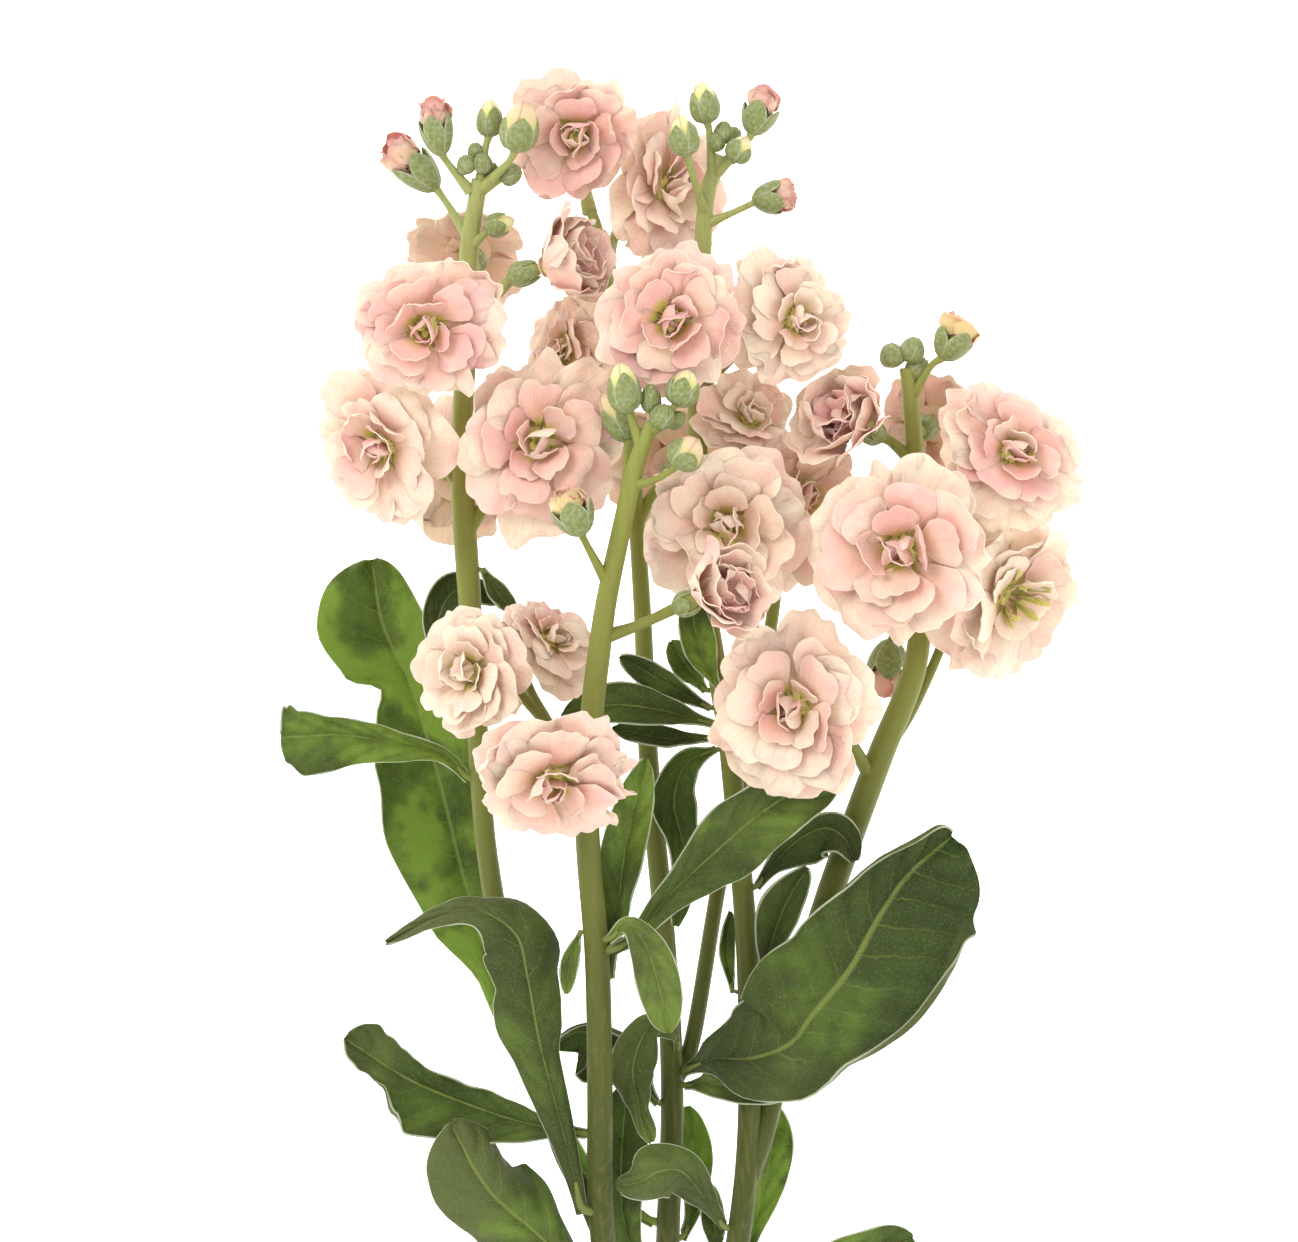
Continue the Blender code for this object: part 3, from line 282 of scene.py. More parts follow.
# Leaves: points along the midrib, half width, where the blade is widest, half width of its base, how
# it faces at the base and at the tip, fold (degrees), how much light comes through it, and felt
LEAVES = [
    ([(-1.4, 167, 27.5), (-15, 176, 24), (-31, 201, 21), (-39, 220.6, 20), (-47.5, 249.4, 20),
     (-54.2, 276.3, 21), (-61, 298, 22), (-67.6, 313, 23), (-70.4, 329, 23)], 13, 0.86, 1.4, (0, 0.2, 1),
     (0.1, 0.1, 1), 10, 1, 0),
    ([(-46.2, 275.8, 45), (-52.8, 281.8, 48), (-62.4, 284.2, 51), (-76.8, 286.6, 54), (-91.2, 285.9, 55)],
     6.9, 0.9, 1.3, (0, 0, 1), (0, -0.2, 1), 12, 0.5, 0.15),
    ([(-18.6, 171, 53), (-21.2, 183, 59), (-25.2, 199, 63), (-28.8, 213, 64.5), (-31.6, 228, 66),
     (-34.5, 239, 68), (-44, 245, 71), (-54, 243, 69.5), (-65.3, 236.7, 66)], 9, 0.52, 1.6, (0.1, 0, 1),
     (0, 0.5, 0.86), -22, 0.15, 0.2),
    ([(-17.6, 190.5, 56.5), (-25, 191.5, 52), (-33, 193, 48.5), (-42, 195.6, 46), (-55.7, 201, 46),
     (-65.3, 206, 48), (-76, 213.4, 52)], 8.2, 0.75, 1.3, (0, 0.2, 1), (0.1, 0.35, 0.93), 22, 0.3, 0.1),
    ([(-15.3, 149, 41), (-21, 157, 45.5), (-29.6, 166, 50), (-38.6, 174, 53.5), (-44.6, 182, 56),
     (-50.4, 193.4, 57)], 12.2, 0.66, 1.8, (0, 0.2, 1), (0.4, 0.2, 0.8), -30, 0.3, 0.3),
    ([(-11.5, 228.5, 68), (-10.4, 240, 68.5), (-8.4, 259, 70), (-3.6, 281, 70)], 5.8, 0.55, 1.2,
     (-0.8, 0, 0.6), (0.2, 0, 1), 18, 0.45, 0.1),
    ([(-11.2, 235.5, 73), (-6, 239, 75), (2.9, 249.2, 74.5), (13.7, 259.2, 70), (23, 267, 64),
     (32, 272.5, 59), (43.2, 275.8, 55)], 9.2, 0.62, 1.5, (0.1, -0.3, 1), (0.3, -0.2, 0.9), 12, 0.45, 0.15),
    ([(23.3, 249.5, 46.5), (28, 256, 48), (34, 261.5, 49), (40, 264, 50), (44.6, 261.5, 50.5),
     (47, 256, 49.5)], 4.4, 0.55, 1.1, (0, -0.3, 1), (0.5, -0.4, 0.7), 20, 0.1, 0.2),
    ([(6.4, 204.5, 32.5), (13, 208, 45), (22, 208.5, 53), (31.2, 212.2, 57), (36.5, 219.2, 59.5),
     (45.4, 230.4, 62), (52.1, 242.7, 63), (59.6, 253.4, 61), (70.2, 262.2, 57)], 20.5, 0.64, 1.5,
     (-0.3, 0.2, 0.9), (0.25, -0.2, 0.9), 16, 0.16, 0.1),
    ([(6.5, 200.8, 33), (13, 201.8, 43), (20.4, 201, 48), (29.5, 198.8, 49)], 4.6, 0.6, 1.1, (0, 0.3, 1),
     (0, 0.3, 1), 20, 0.2, 0.3),
    ([(4.6, 209.8, 34.5), (3.6, 214, 41), (-2.4, 216, 48), (-6.4, 207, 52), (-5, 197, 54),
     (-1.9, 188.4, 53)], 6.4, 0.7, 1.1, (0.3, 0.3, 0.9), (0, 0.1, 1), -28, 0.45, 0.4),
    ([(15.9, 166.5, 38.2), (11, 174, 45), (5.5, 181, 51), (0, 181.5, 55), (-5, 179, 57), (-10.4, 178, 57.5)],
     6.8, 0.66, 1.2, (0, -0.3, 1), (0.1, 0.3, 1), -20, 0.2, 0.4),
    ([(-12.2, 238, 74.8), (-7.5, 241.5, 80), (-3, 236, 82), (0, 226, 80), (2, 216, 76)], 5.5, 0.6, 1.2,
     (0.2, 0.3, 1), (0, -0.2, 1), 12, 0.75, 0.5),
    ([(-0.4, 196.4, 31.5), (-7, 205, 35), (-13, 211.5, 38), (-19.5, 214.5, 41), (-25.5, 211, 40)], 6.6, 0.6,
     1.2, (0, -0.2, 1), (0.2, -0.6, 0.7), 34, 0.15, 0.2),
    ([(-1.9, 150, 24.3), (-6, 158, 31), (-9, 170, 37), (-9.4, 182, 41), (-8.8, 192, 43), (-7.7, 202, 43.5)],
     6.6, 0.72, 1.5, (-0.2, 0, 1), (0, 0, 1), 14, 0.3, 0.1),
    ([(5.4, 163, 26), (8, 170, 22), (8.6, 182, 19), (6.6, 195, 19)], 4.6, 0.66, 1.2, (0.2, 0, 1), (0, 0, 1),
     14, 0.8, 0),
    ([(20.9, 158.5, 33), (23, 166, 28), (26, 178, 25), (27.6, 188, 25), (27, 196.5, 27)], 5.6, 0.64, 1.2,
     (0.2, 0, 1), (0, -0.2, 1), 16, 0.7, 0),
    ([(15.4, 157.5, 35), (13.4, 166, 34), (12, 177, 33)], 3.2, 0.55, 1, (-0.2, 0, 1), (0, 0, 1), 20, 0.3,
     0.1),
    ([(13.6, 124.3, 22), (25, 135, 24), (38, 149, 26), (50, 157.6, 26), (62, 163, 23)], 11, 0.6, 1.6,
     (0.1, -0.2, 1), (0.2, -0.3, 1), 16, 0.4, 0.1),
    ([(12.3, 292.8, 49.8), (3, 298, 54), (-9.5, 305.5, 56)], 3.6, 0.6, 0.9, (0, -0.3, 1), (0, -0.2, 1), 18,
     0.15, 0.1),
    ([(12.6, 289.2, 50), (0, 292.6, 58), (-12, 293.8, 62), (-23.4, 290.6, 62)], 5.6, 0.6, 1.1, (0, 0.1, 1),
     (0, 0.3, 1), 22, 0.15, 0.1),
    ([(13.4, 285.6, 48.5), (2, 285.6, 50), (-11.5, 288, 49)], 3.2, 0.6, 0.9, (0, 0.5, 0.86), (0, 0.4, 0.9),
     16, 0.1, 0.1),
    ([(13.6, 283, 46.8), (6.4, 279.4, 45.6), (3.4, 270, 43.5), (6.2, 256, 41.5), (3.8, 240, 41)], 4.3, 0.5,
     0.9, (-0.2, 0, 1), (0.2, 0, 1), 24, 0.15, 0.1),
    ([(11, 297, 48.4), (6.6, 303, 46), (2.6, 309, 45)], 3.7, 0.55, 0.9, (0, -0.1, 1), (0, 0, 1), 14, 0.4, 0),
    ([(14.2, 297.6, 52), (10.5, 305, 55.5), (8.5, 312, 57), (7, 320, 56.5)], 4.6, 0.55, 0.9, (0, -0.2, 1),
     (0.1, 0.2, 1), 20, 0.6, 0),
    ([(-48.6, 297, 43.6), (-52.8, 306, 41), (-53.6, 315, 39), (-49, 321.5, 38), (-39, 318.5, 39.5)], 5, 0.6,
     1, (0, 0, 1), (0, 0.4, 0.9), 30, 0.05, 0.3),
    ([(-43, 326.6, 47.4), (-39, 320.5, 49), (-34.8, 316, 48.5)], 2.7, 0.55, 0.8, (0, 0.3, 1), (0, 0.3, 1),
     20, 0.2, 0.3),
    ([(-18.6, 240, 71), (-21.4, 233, 73), (-22.4, 225, 72.5)], 2.3, 0.55, 0.8, (0, 0, 1), (0, 0, 1), 14, 0.3,
     0.3),
    ([(17.8, 224, 44), (16.2, 234, 42), (17.2, 243.5, 41)], 2.1, 0.55, 0.7, (0, 0, 1), (0.4, 0, 1), 14, 0.4,
     0.1),
    ([(24.7, 227.2, 46), (27.4, 238, 50), (31, 247, 53.5), (35.5, 254.5, 56)], 3.7, 0.6, 0.9, (0, -0.2, 1),
     (0, -0.2, 1), 24, 0.2, 0.2),
]

# How single leaves depart from the plain blade, by number: share of the length, width to the left and
# to the right of the midrib, how far each margin rolls up (radians), and felt that shows there. Zeros
# at the end of a row are left out, and every leaf starts plain at its base
PLAIN_BASE = (0, 1, 1, 0, 0, 0)
PLAIN_FORM = [(1, 1, 1)]
FORMS = {
    1: [(0.25, 0.4, 1), (0.4, 0.5, 0.8), (0.5, 1.35, 0.95), (0.62, 1.58, 1, 0, 0.5), (0.72, 1.25, 0.9),
        (0.79, 0.9, 0.85, 0.5), (0.83, 0.6, 0.75, 0.8), (0.87, 1.1, 0.8), (0.93, 1.45, 0.85), (1, 1.6, 0.9)],
    2: [(0.5, 1.2, 0.8), (0.75, 1.4, 0.7, 0.6), (0.9, 1.4, 1.0, 0, 0.4), (0.96, 1.25, 1.5), (1, 1.8, 2.6)],
    3: [(0.38, 0.96, 0.55), (0.46, 1.17, 0.8), (0.52, 1.08, 0.88, 0.4), (0.55, 0.92, 0.92, 0.6),
        (0.62, 1.18, 1.15), (0.68, 1.0, 1.05), (0.78, 0.55, 0.55, 1.4, 0, 0.6),
        (0.9, 0.45, 0.5, 1.8, 0, 0.9), (1, 0.6, 0.6, 0, 0, 0.9)],
    4: [(0.25, 2.1, 1.2), (0.4, 2.05, 0.95), (0.52, 1.95, 0.7, 0, 0.8), (0.66, 2.0, 0.55, 0, 0.8),
        (0.73, 1.7, 0.6, 1.6, 0, 0.1), (0.79, 0.9, 0.7, 2.2, 0, 0.3), (0.86, 0.7, 0.95, 0, 0, 0.45),
        (0.93, 1.05, 1.35, 0, 0, 0.45), (1, 1.5, 1.5, 0, 0, 0.45)],
    5: [(0.2, 1.2, 1.3), (0.35, 1.15, 1.3), (0.52, 1.0, 1.35, 0, 0.5), (0.59, 0.95, 1.25, 0, 1.2, 0.3),
        (0.64, 1, 0.95, 0, 0.5, 0.7), (0.7, 1.05, 1.0, 0, 0, 0.75), (0.8, 1.1, 1.1, 0.8, 0, 0.75),
        (0.92, 1.1, 1.25, 0, 0.6, 0.75), (1, 1.1, 1.3, 0, 0, 0.75)],
    7: [(0.4, 0.95, 1), (0.5, 1.15, 1.1, 0.7), (0.62, 1.0, 1.1), (0.8, 1.1, 1, 0, 1.0), (1, 1, 1)],
    8: [(0.4, 1.2, 1.7, 0, 1, 0.2), (0.7, 1.3, 1.9, 0, 1.4, 0.3), (1, 1, 1.2, 0, 0, 0.3)],
    9: [(0.16, 1.3, 1.1), (0.26, 1.6, 1.25, 0.8, 0, 0.3), (0.34, 1.4, 1.25, 0.5, 0.8, 0.3),
        (0.42, 1.15, 1.15, 0, 2, 0.05), (0.62, 0.84, 1.28, 0.2, 2.6), (0.78, 0.7, 1.28, 1.7, 1.6),
        (0.9, 0.64, 1.42, 2.8, 0.2), (1, 1.0, 1.8, 2)],
    11: [(0.35, 1, 1, 0, 0.6), (0.5, 1.15, 1.1, 1), (0.62, 1, 0.95, 0, 0.8), (0.74, 0.65, 0.6),
         (0.83, 0.42, 0.45), (1, 0.7, 0.7)],
    12: [(0.55, 1.1, 0.9, 0.8), (0.75, 1, 1.1, 0, 1, 0.2), (0.9, 0.8, 0.75, 0, 0, 0.3),
         (1, 0.9, 0.9, 0, 0, 0.3)],
    14: [(0.3, 1.5, 1.8, 0, 1.0), (0.5, 1.8, 1.5, 0, 1.4, 0.1), (0.75, 1.8, 1.1, 0, 1.2, 0.1), (1, 1.2, 1)],
    23: [(0.12, 2.6, 2.2), (0.3, 2, 1.8, 0.8), (0.55, 1.1, 1), (1, 1, 1)],
    30: [(0.3, 1.9, 1.3, 0.8, 0, 0.2), (0.7, 2.2, 1.3, 1.2, 0.8, 0.2), (1, 1.5, 1.2)],
}

# Pinkness and dryness of the petals in a bud
BUD_KINDS = {"yellow": (0.0, 0.0), "peach": (0.45, 0.1), "pink": (0.9, 0.1), "dry": (0.25, 0.75)}

# The stage, in metres and watts: lamps by name, place, size and power, the room's light, and the point
# under the camera, which is the middle of the photograph
LAMPS = [
    ("key", (-1.1, 1.3, 1.5), 1.0, 24),
    ("fill", (1.3, 0.2, 1.6), 1.6, 13),
    ("low", (-0.1, -1.0, 1.4), 1.4, 10),
]
LAMP_AIM = (0, 0.3, 0.05)
ROOM_LIGHT = 0.98
CAMERA_SPOT = (-0.00264, 0.31396)
SENSOR_WIDTH = 36


def hex_colour(text):
    """Linear colour of an sRGB hex value."""
    parts = [int(text[i:i + 2], 16) / 255 for i in (1, 3, 5)]
    return (*[part / 12.92 if part <= 0.04045 else ((part + 0.055) / 1.055) ** 2.4 for part in parts], 1)


def add_node(tree, kind, inputs=(), output=0, **settings):
    """Add a shader node with its settings, fed by values or other nodes' outputs, and return its output."""
    node = tree.nodes.new("ShaderNode" + kind)
    for name, value in settings.items():
        setattr(node, name, value)
    for socket, value in inputs.items() if isinstance(inputs, dict) else enumerate(inputs):
        if isinstance(value, bpy.types.NodeSocket):
            tree.links.new(value, node.inputs[socket])
        else:
            node.inputs[socket].default_value = value
    return node.outputs[output]


def new_material(name, **constants):
    """A material with its Principled shader; constants are set on the shader's own sockets."""
    finish = bpy.data.materials.new(name)
    finish.use_nodes = True
    shader = finish.node_tree.nodes["Principled BSDF"]
    for socket, value in constants.items():
        shader.inputs[socket.replace("_", " ")].default_value = value
    return finish, finish.node_tree, shader


def product(tree, *shares):
    """Shares multiplied; a share given as a list is eased: value, from, to, share there and share here."""
    total = None
    for share in shares:
        if isinstance(share, list):
            share = add_node(tree, "MapRange", share, interpolation_type="SMOOTHSTEP")
        total = share if total is None else add_node(tree, "Math", [total, share], operation="MULTIPLY")
    return total


def laid_over(tree, colour, tints):
    """A colour with tints laid over it in turn, each with the shares that say how much of it shows."""
    for tint, *shares in tints:
        tint = hex_colour(tint) if isinstance(tint, str) else tint
        colour = add_node(tree, "Mix", {0: product(tree, *shares), 6: colour, 7: tint}, 2, data_type="RGBA")
    return colour


def place_parts(tree):
    """The place attribute's four numbers: along, across, and two of the piece's own."""
    place = add_node(tree, "Attribute", output="Color", attribute_name="place")
    parts = add_node(tree, "SeparateColor", [place]).node.outputs
    return parts[0], parts[1], parts[2], place.node.outputs["Alpha"]


def off_middle(tree, across):
    """How far a point lies from the midline of its petal, leaf or sepal: 0 to 0.5."""
    offset = add_node(tree, "Math", [across, 0.5], operation="SUBTRACT")
    return add_node(tree, "Math", [offset], operation="ABSOLUTE")


def dress(tree, shader, colour, height, depth, strength):
    """Give the shader its colour and press a height pattern into its surface, at a depth in metres."""
    tree.links.new(colour, shader.inputs["Base Color"])
    bump = add_node(tree, "Bump", {"Height": height, "Distance": depth, "Strength": strength})
    tree.links.new(bump, shader.inputs["Normal"])


def petal_material(settings):
    # Petal tissue: thin, matt and faintly velvety, with light passing through it
    finish, tree, shader = new_material(
        "petal_tissue", Roughness=0.6, IOR=1.4, Subsurface_Weight=0.3, Subsurface_Scale=0.003,
        Subsurface_Radius=(0.6, 0.5, 0.45), Sheen_Weight=0.1, Sheen_Roughness=0.5)
    along, across, pinkness, warm_shade = place_parts(tree)
    spot = add_node(tree, "TexCoord", output="Object")
    # The blush comes and goes over about 8 mm
    blush = add_node(tree, "TexNoise", {"Vector": spot, "Scale": 125.0, "Detail": 2.0})
    uneven = product(tree, [blush, 0.3, 0.7, -0.3, 0.3])
    pink = add_node(tree, "Math", [pinkness, uneven], operation="ADD", use_clamp=True)
    # Veins fan out from the claw, about 0.6 mm apart at the margin
    fan = [product(tree, along, 2.5), product(tree, across, 30.0), product(tree, pinkness, 40.0)]
    fan = add_node(tree, "CombineXYZ", fan)
    veins = add_node(tree, "TexNoise", {"Vector": fan, "Scale": 1.0, "Detail": 3.0})
    colour = laid_over(tree, hex_colour(settings.cream), [
        (settings.pink, pink),
        # Painted warm shade: the peach tint grows towards the claws, where light bounced deep in a bloom
        # would fall
        (settings.peach, warm_shade, 0.75),
        (settings.vein, [veins, 0.48, 0.75, 0.0, 0.3]),
        (settings.throat, [along, 0.12, 0.26, 0.95, 0.0]),
        # The green claw colour darkens to deep olive at the very middle of a bloom: painted shade where the
        # claws meet
        (settings.shaded_throat, [along, 0.03, 0.13, 0.9, 0.0])])
    # The crinkle is 2 to 3 mm across, as coarse as it needs to show
    crinkle = add_node(tree, "TexNoise", {"Vector": spot, "Scale": 420.0, "Detail": 4.0})
    height = add_node(tree, "Math", [crinkle, product(tree, veins, 1.2)], operation="ADD")
    dress(tree, shader, colour, height, 0.0004, 0.5)
    return finish


def leaf_material(settings):
    # Felted leaf: a waxy blade under a coat of short pale hairs, which lighten it at a slant
    finish, tree, shader = new_material(
        "felted_leaf", Roughness=0.62, Specular_IOR_Level=0.16, Subsurface_Weight=0.1,
        Subsurface_Scale=0.002, Subsurface_Radius=(0.5, 1.0, 0.2), Sheen_Weight=0.06,
        Sheen_Roughness=0.4, Sheen_Tint=hex_colour(settings.felt))
    along, across, light, felt = place_parts(tree)
    spot = add_node(tree, "TexCoord", output="Object")
    # The green is mottled about every 6 mm
    mottle = add_node(tree, "TexNoise", {"Vector": spot, "Scale": 170.0, "Detail": 3.0})
    # Patches about 2 cm across let more light through
    patches = add_node(tree, "TexNoise", {"Vector": spot, "Scale": 48.0, "Detail": 1.0})
    lit = product(tree, light, [mottle, 0.3, 0.62, 0.5, 1.1], [patches, 0.38, 0.62, 0.35, 1.6])
    lit = add_node(tree, "Math", [lit, 1.0], operation="MINIMUM")
    # Side veins leave the midrib at a slant and fade towards the margin
    side = off_middle(tree, across)
    slant = add_node(tree, "Math", [along, product(tree, side, 3.2)], operation="SUBTRACT")
    wander = add_node(tree, "Math", [slant, product(tree, mottle, 0.5)], operation="ADD")
    stripe = off_middle(tree, add_node(tree, "Math", [wander], operation="FRACT"))
    vein = product(tree, [stripe, 0.0, 0.05, 0.3, 0.0], [side, 0.02, 0.4, 1.0, 0.1])
    # Real hairs are finer: 0.45 mm apart is as coarse as the felt needs to show
    hairs = add_node(tree, "TexNoise", {"Vector": spot, "Scale": 2200.0, "Detail": 2.0})
    colour = laid_over(tree, hex_colour(settings.dark), [
        (settings.bright, lit),
        (settings.underside, felt, 0.8),
        (settings.rib, [side, 0.006, 0.026, 0.6, 0.0]),
        (settings.rib, vein),
        # Pale hairs along the margin, partly their own colour and partly a painted sheen of light catching
        # them
        (settings.felt, [side, 0.496, 0.508, 0.0, 0.6]),
        (settings.felt, [hairs, 0.45, 0.8, 0.0, 0.09])])
    height = [product(tree, hairs, 0.35), product(tree, vein, 1.4)]
    height = add_node(tree, "Math", height, operation="SUBTRACT")
    dress(tree, shader, colour, height, 0.0006, 0.6)
    return finish


def stem_material(settings):
    # Green stem: smooth and slightly waxy with fine ribs, young and yellowish near the flowers
    finish, tree, shader = new_material(
        "green_stem", Roughness=0.5, Specular_IOR_Level=0.22, Subsurface_Weight=0.04,
        Subsurface_Scale=0.002, Subsurface_Radius=(0.6, 1.0, 0.25), Sheen_Weight=0.04,
        Sheen_Roughness=0.3, Sheen_Tint=hex_colour(settings.felt))
    sepal, across, _, _ = place_parts(tree)
    spot = add_node(tree, "TexCoord", output="Object")
    up = add_node(tree, "SeparateXYZ", [spot], "Y")
    # Streaks run along the stem, about 1 mm apart
    stretched = add_node(tree, "Mapping", {"Vector": spot, "Scale": (1.0, 0.06, 1.0)})
    streaks = add_node(tree, "TexNoise", {"Vector": stretched, "Scale": 900.0, "Detail": 3.0})
    # Sepals are mottled about every millimetre, and the cut end is pale
    mottle = add_node(tree, "TexNoise", {"Vector": spot, "Scale": 1100.0, "Detail": 5.0})
    scaly = laid_over(tree, hex_colour(settings.sepal), [(settings.felt, [mottle, 0.3, 0.8, 0.0, 0.4])])
    side = off_middle(tree, across)
    colour = laid_over(tree, hex_colour(settings.old), [
        (settings.young, [up, 0.17, 0.37, 0.0, 1.0]),
        (settings.pith, [up, 0.33, 0.43, 0.0, 0.2]),
        (settings.streak, [streaks, 0.45, 0.75, 0.0, 0.35]),
        (scaly, sepal),
        # Pale margins of the sepals: hairs of their own colour, with a painted sheen of light catching them
        (settings.felt, [side, 0.4, 0.5, 0.0, 0.5], sepal),
        (settings.pith, [up, 0.0, 0.0006, 1.0, 0.0])])
    hairs = add_node(tree, "TexNoise", {"Vector": spot, "Scale": 2400.0, "Detail": 2.0})
    height = add_node(tree, "Math", [streaks, product(tree, hairs, 0.5)], operation="ADD")
    dress(tree, shader, colour, height, 0.0003, 0.5)
    return finish


def bud_petal_material(settings):
    # Young petal tissue, still folded: matt, yellow-green until it colours
    finish, tree, shader = new_material(
        "folded_petal_tissue", Roughness=0.6, IOR=1.4, Subsurface_Weight=0.2, Subsurface_Scale=0.002,
        Sheen_Weight=0.15)
    along, across, pinkness, dryness = place_parts(tree)
    side = off_middle(tree, across)
    colour = laid_over(tree, hex_colour(settings.bud_yellow), [
        (settings.bud_pink, pinkness),
        (settings.bud_dry, dryness),
        (settings.throat, [along, 0.3, 0.8, 0.75, 0.0], [pinkness, 0.0, 1.0, 1.0, 0.4]),
        (settings.vein, [side, 0.4, 0.5, 0.0, 0.5]),
        # The crumpled tips of ripe petals are rosier
        (settings.bud_tip, [along, 0.8, 1.0, 0.0, 0.6], pinkness)])
    spot = add_node(tree, "TexCoord", output="Object")
    # Folds about a millimetre apart
    crinkle = add_node(tree, "TexNoise", {"Vector": spot, "Scale": 900.0, "Detail": 3.0})
    dress(tree, shader, colour, crinkle, 0.0003, 0.5)
    return finish


def select_only(pieces):
    """Select these pieces and no others; the first is the active one."""
    bpy.ops.object.select_all(action="DESELECT")
    for piece in pieces:
        piece.select_set(True)
    bpy.context.view_layer.objects.active = pieces[0]


SHEETS = {}


def points_of(piece):
    """The points of a piece as rows of x, y and z, in metres."""
    flat = np.zeros(len(piece.data.vertices) * 3)
    piece.data.vertices.foreach_get("co", flat)
    return flat.reshape(-1, 3)


def sheet(rows, columns):
    """A copy of a flat grid, with how far its points are along it, 0 to 1, and across it, -1 to 1."""
    if (rows, columns) not in SHEETS:
        bpy.ops.object.select_all(action="DESELECT")
        bpy.ops.mesh.primitive_grid_add(x_subdivisions=rows, y_subdivisions=columns, size=1)
        SHEETS[rows, columns] = bpy.context.object
    copy = SHEETS[rows, columns].copy()
    copy.data = copy.data.copy()
    bpy.context.scene.collection.objects.link(copy)
    flat = points_of(copy)
    return copy, flat[:, 0] + 0.5, flat[:, 1] * 2


def drop_sheets():
    """Take the flat grids away once every piece has its copy."""
    for piece in SHEETS.values():
        bpy.data.objects.remove(piece)
    SHEETS.clear()


def shape(piece, points, place):
    """Give a piece its points, in millimetres, and its place attribute."""
    piece.data.vertices.foreach_set("co", (points * MM).ravel())
    attribute = piece.data.color_attributes.new("place", "FLOAT_COLOR", "POINT")
    values = np.ones((len(points), 4))
    for column, value in enumerate(place):
        values[:, column] = value
    attribute.data.foreach_set("color", values.ravel())
    piece.data.update()


def join(pieces, name, finish):
    """Make one piece of several, with one finish."""
    select_only(pieces)
    bpy.ops.object.join()
    piece = bpy.context.object
    piece.name = name
    piece.data.name = name
    piece.data.materials.clear()
    piece.data.materials.append(finish)
    return piece


def weld(piece):
    """Close the seams and poles of a piece and turn its faces outward."""
    select_only([piece])
    bpy.ops.object.mode_set(mode="EDIT")
    bpy.ops.mesh.select_all(action="SELECT")
    bpy.ops.mesh.remove_doubles(threshold=WELD_DISTANCE * MM)
    bpy.ops.mesh.normals_make_consistent(inside=False)
    bpy.ops.object.mode_set(mode="OBJECT")


def thicken(piece, thickness):
    """Give a thin piece its thickness, in millimetres, half to each side."""
    wall = piece.modifiers.new("Solidify", "SOLIDIFY")
    wall.thickness = thickness * MM
    wall.offset = 0
    select_only([piece])
    bpy.ops.object.modifier_apply(modifier=wall.name)


def hand_over(piece, node):
    """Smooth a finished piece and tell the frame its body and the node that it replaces."""
    select_only([piece])
    bpy.ops.object.shade_smooth_by_angle(angle=math.radians(SMOOTH_ANGLE))
    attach(piece, "root")
    if node:
        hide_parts(node)


def unit(vector):
    return np.asarray(vector, float) / np.linalg.norm(vector)


def axes_round(faces, hint):
    """The axis of a bloom or bud, and two directions square to it."""
    axis = unit(faces)
    start = unit(np.cross(axis, hint))
    return axis, start, np.cross(axis, start)


def off_table(spots):
    """Lift points that would lie in the table."""
    spots[:, 2] = np.maximum(spots[:, 2], TABLE_GAP)
    return spots


def curve_through(knots, shares):
    """Points at shares of the length of a smooth curve through the knots, its directions, its length."""
    knots = np.array(knots, float)
    knots = np.vstack((2 * knots[0] - knots[1], knots, 2 * knots[-1] - knots[-2]))
    fine = []
    for a, b, c, d in zip(knots, knots[1:], knots[2:], knots[3:]):
        for step in range(CURVE_STEPS):
            t = step / CURVE_STEPS
            fine.append(0.5 * (2 * b + (c - a) * t + (2 * a - 5 * b + 4 * c - d) * t * t
                               + (3 * b - a - 3 * c + d) * t * t * t))
    fine.append(knots[-2])
    fine = np.array(fine)
    steps = np.linalg.norm(np.diff(fine[:, :3], axis=0), axis=1)
    lengths = np.concatenate(([0], np.cumsum(steps)))
    wanted = lengths[-1] * shares

    def at(distances):
        return np.array([np.interp(distances, lengths, column) for column in fine.T]).T

    # Half a millimetre ahead and behind gives the direction
    along = (at(wanted + 0.5) - at(wanted - 0.5))[:, :3]
    return at(wanted), along / np.linalg.norm(along, axis=1, keepdims=True), lengths[-1]


def stretches():
    """The straight stretches of all shoots: where each starts, its run, and its radius at both ends."""
    for points in SHOOTS.values():
        for start, end in zip(points, points[1:]):
            foot = np.array(start[:3])
            yield foot, np.array(end[:3]) - foot, start[3], end[3]


def keep_off_shoots(spots, gap):
    """Move points out to the skin of a shoot that they would enter."""
    for foot, run, radius, end_radius in stretches():
        share = np.clip((spots - foot) @ run / (run @ run), 0, 1)
        away = spots - foot - share[:, None] * run
        distance = np.linalg.norm(away, axis=1)
        clear = radius + (end_radius - radius) * share + gap
        inside = distance < clear
        if inside.any():
            spots[inside] += away[inside] * (clear / np.maximum(distance, 0.01) - 1)[inside, None]
    return spots


def nearest_on_shoots(spot):
    """The point on the middle of a shoot that lies nearest."""
    found = []
    for foot, run, _, _ in stretches():
        near = foot + min(1, max(0, (spot - foot) @ run / (run @ run))) * run
        found.append((np.linalg.norm(spot - near), tuple(near)))
    return np.array(min(found)[1])


def reach(number, direction):
    """How far a bloom spreads from the middle of its throat in a direction."""
    radius, faces = BLOOMS[number - 1][1:3]
    profile = CUPPED_PROFILE if number in CUPPED else OPEN_PROFILE
    up = direction @ unit(faces)
    out = math.sqrt(max(0, 1 - up * up))
    return radius * max(out * share_out + up * share_up for share_out, share_up in profile)


def neighbours(number):
    """The blooms that press on this one: direction, and how much its petals shorten that way."""
    found = []
    middle = np.array(BLOOMS[number - 1][0], float)
    for other, row in enumerate(BLOOMS, 1):
        if other == number:
            continue
        away = np.array(row[0], float) - middle
        distance = np.linalg.norm(away)
        away /= distance
        wanted = reach(number, away) + reach(other, -away)
        if wanted > distance - PRESS_GAP:
            found.append((away, (distance - PRESS_GAP) / wanted))
    return found


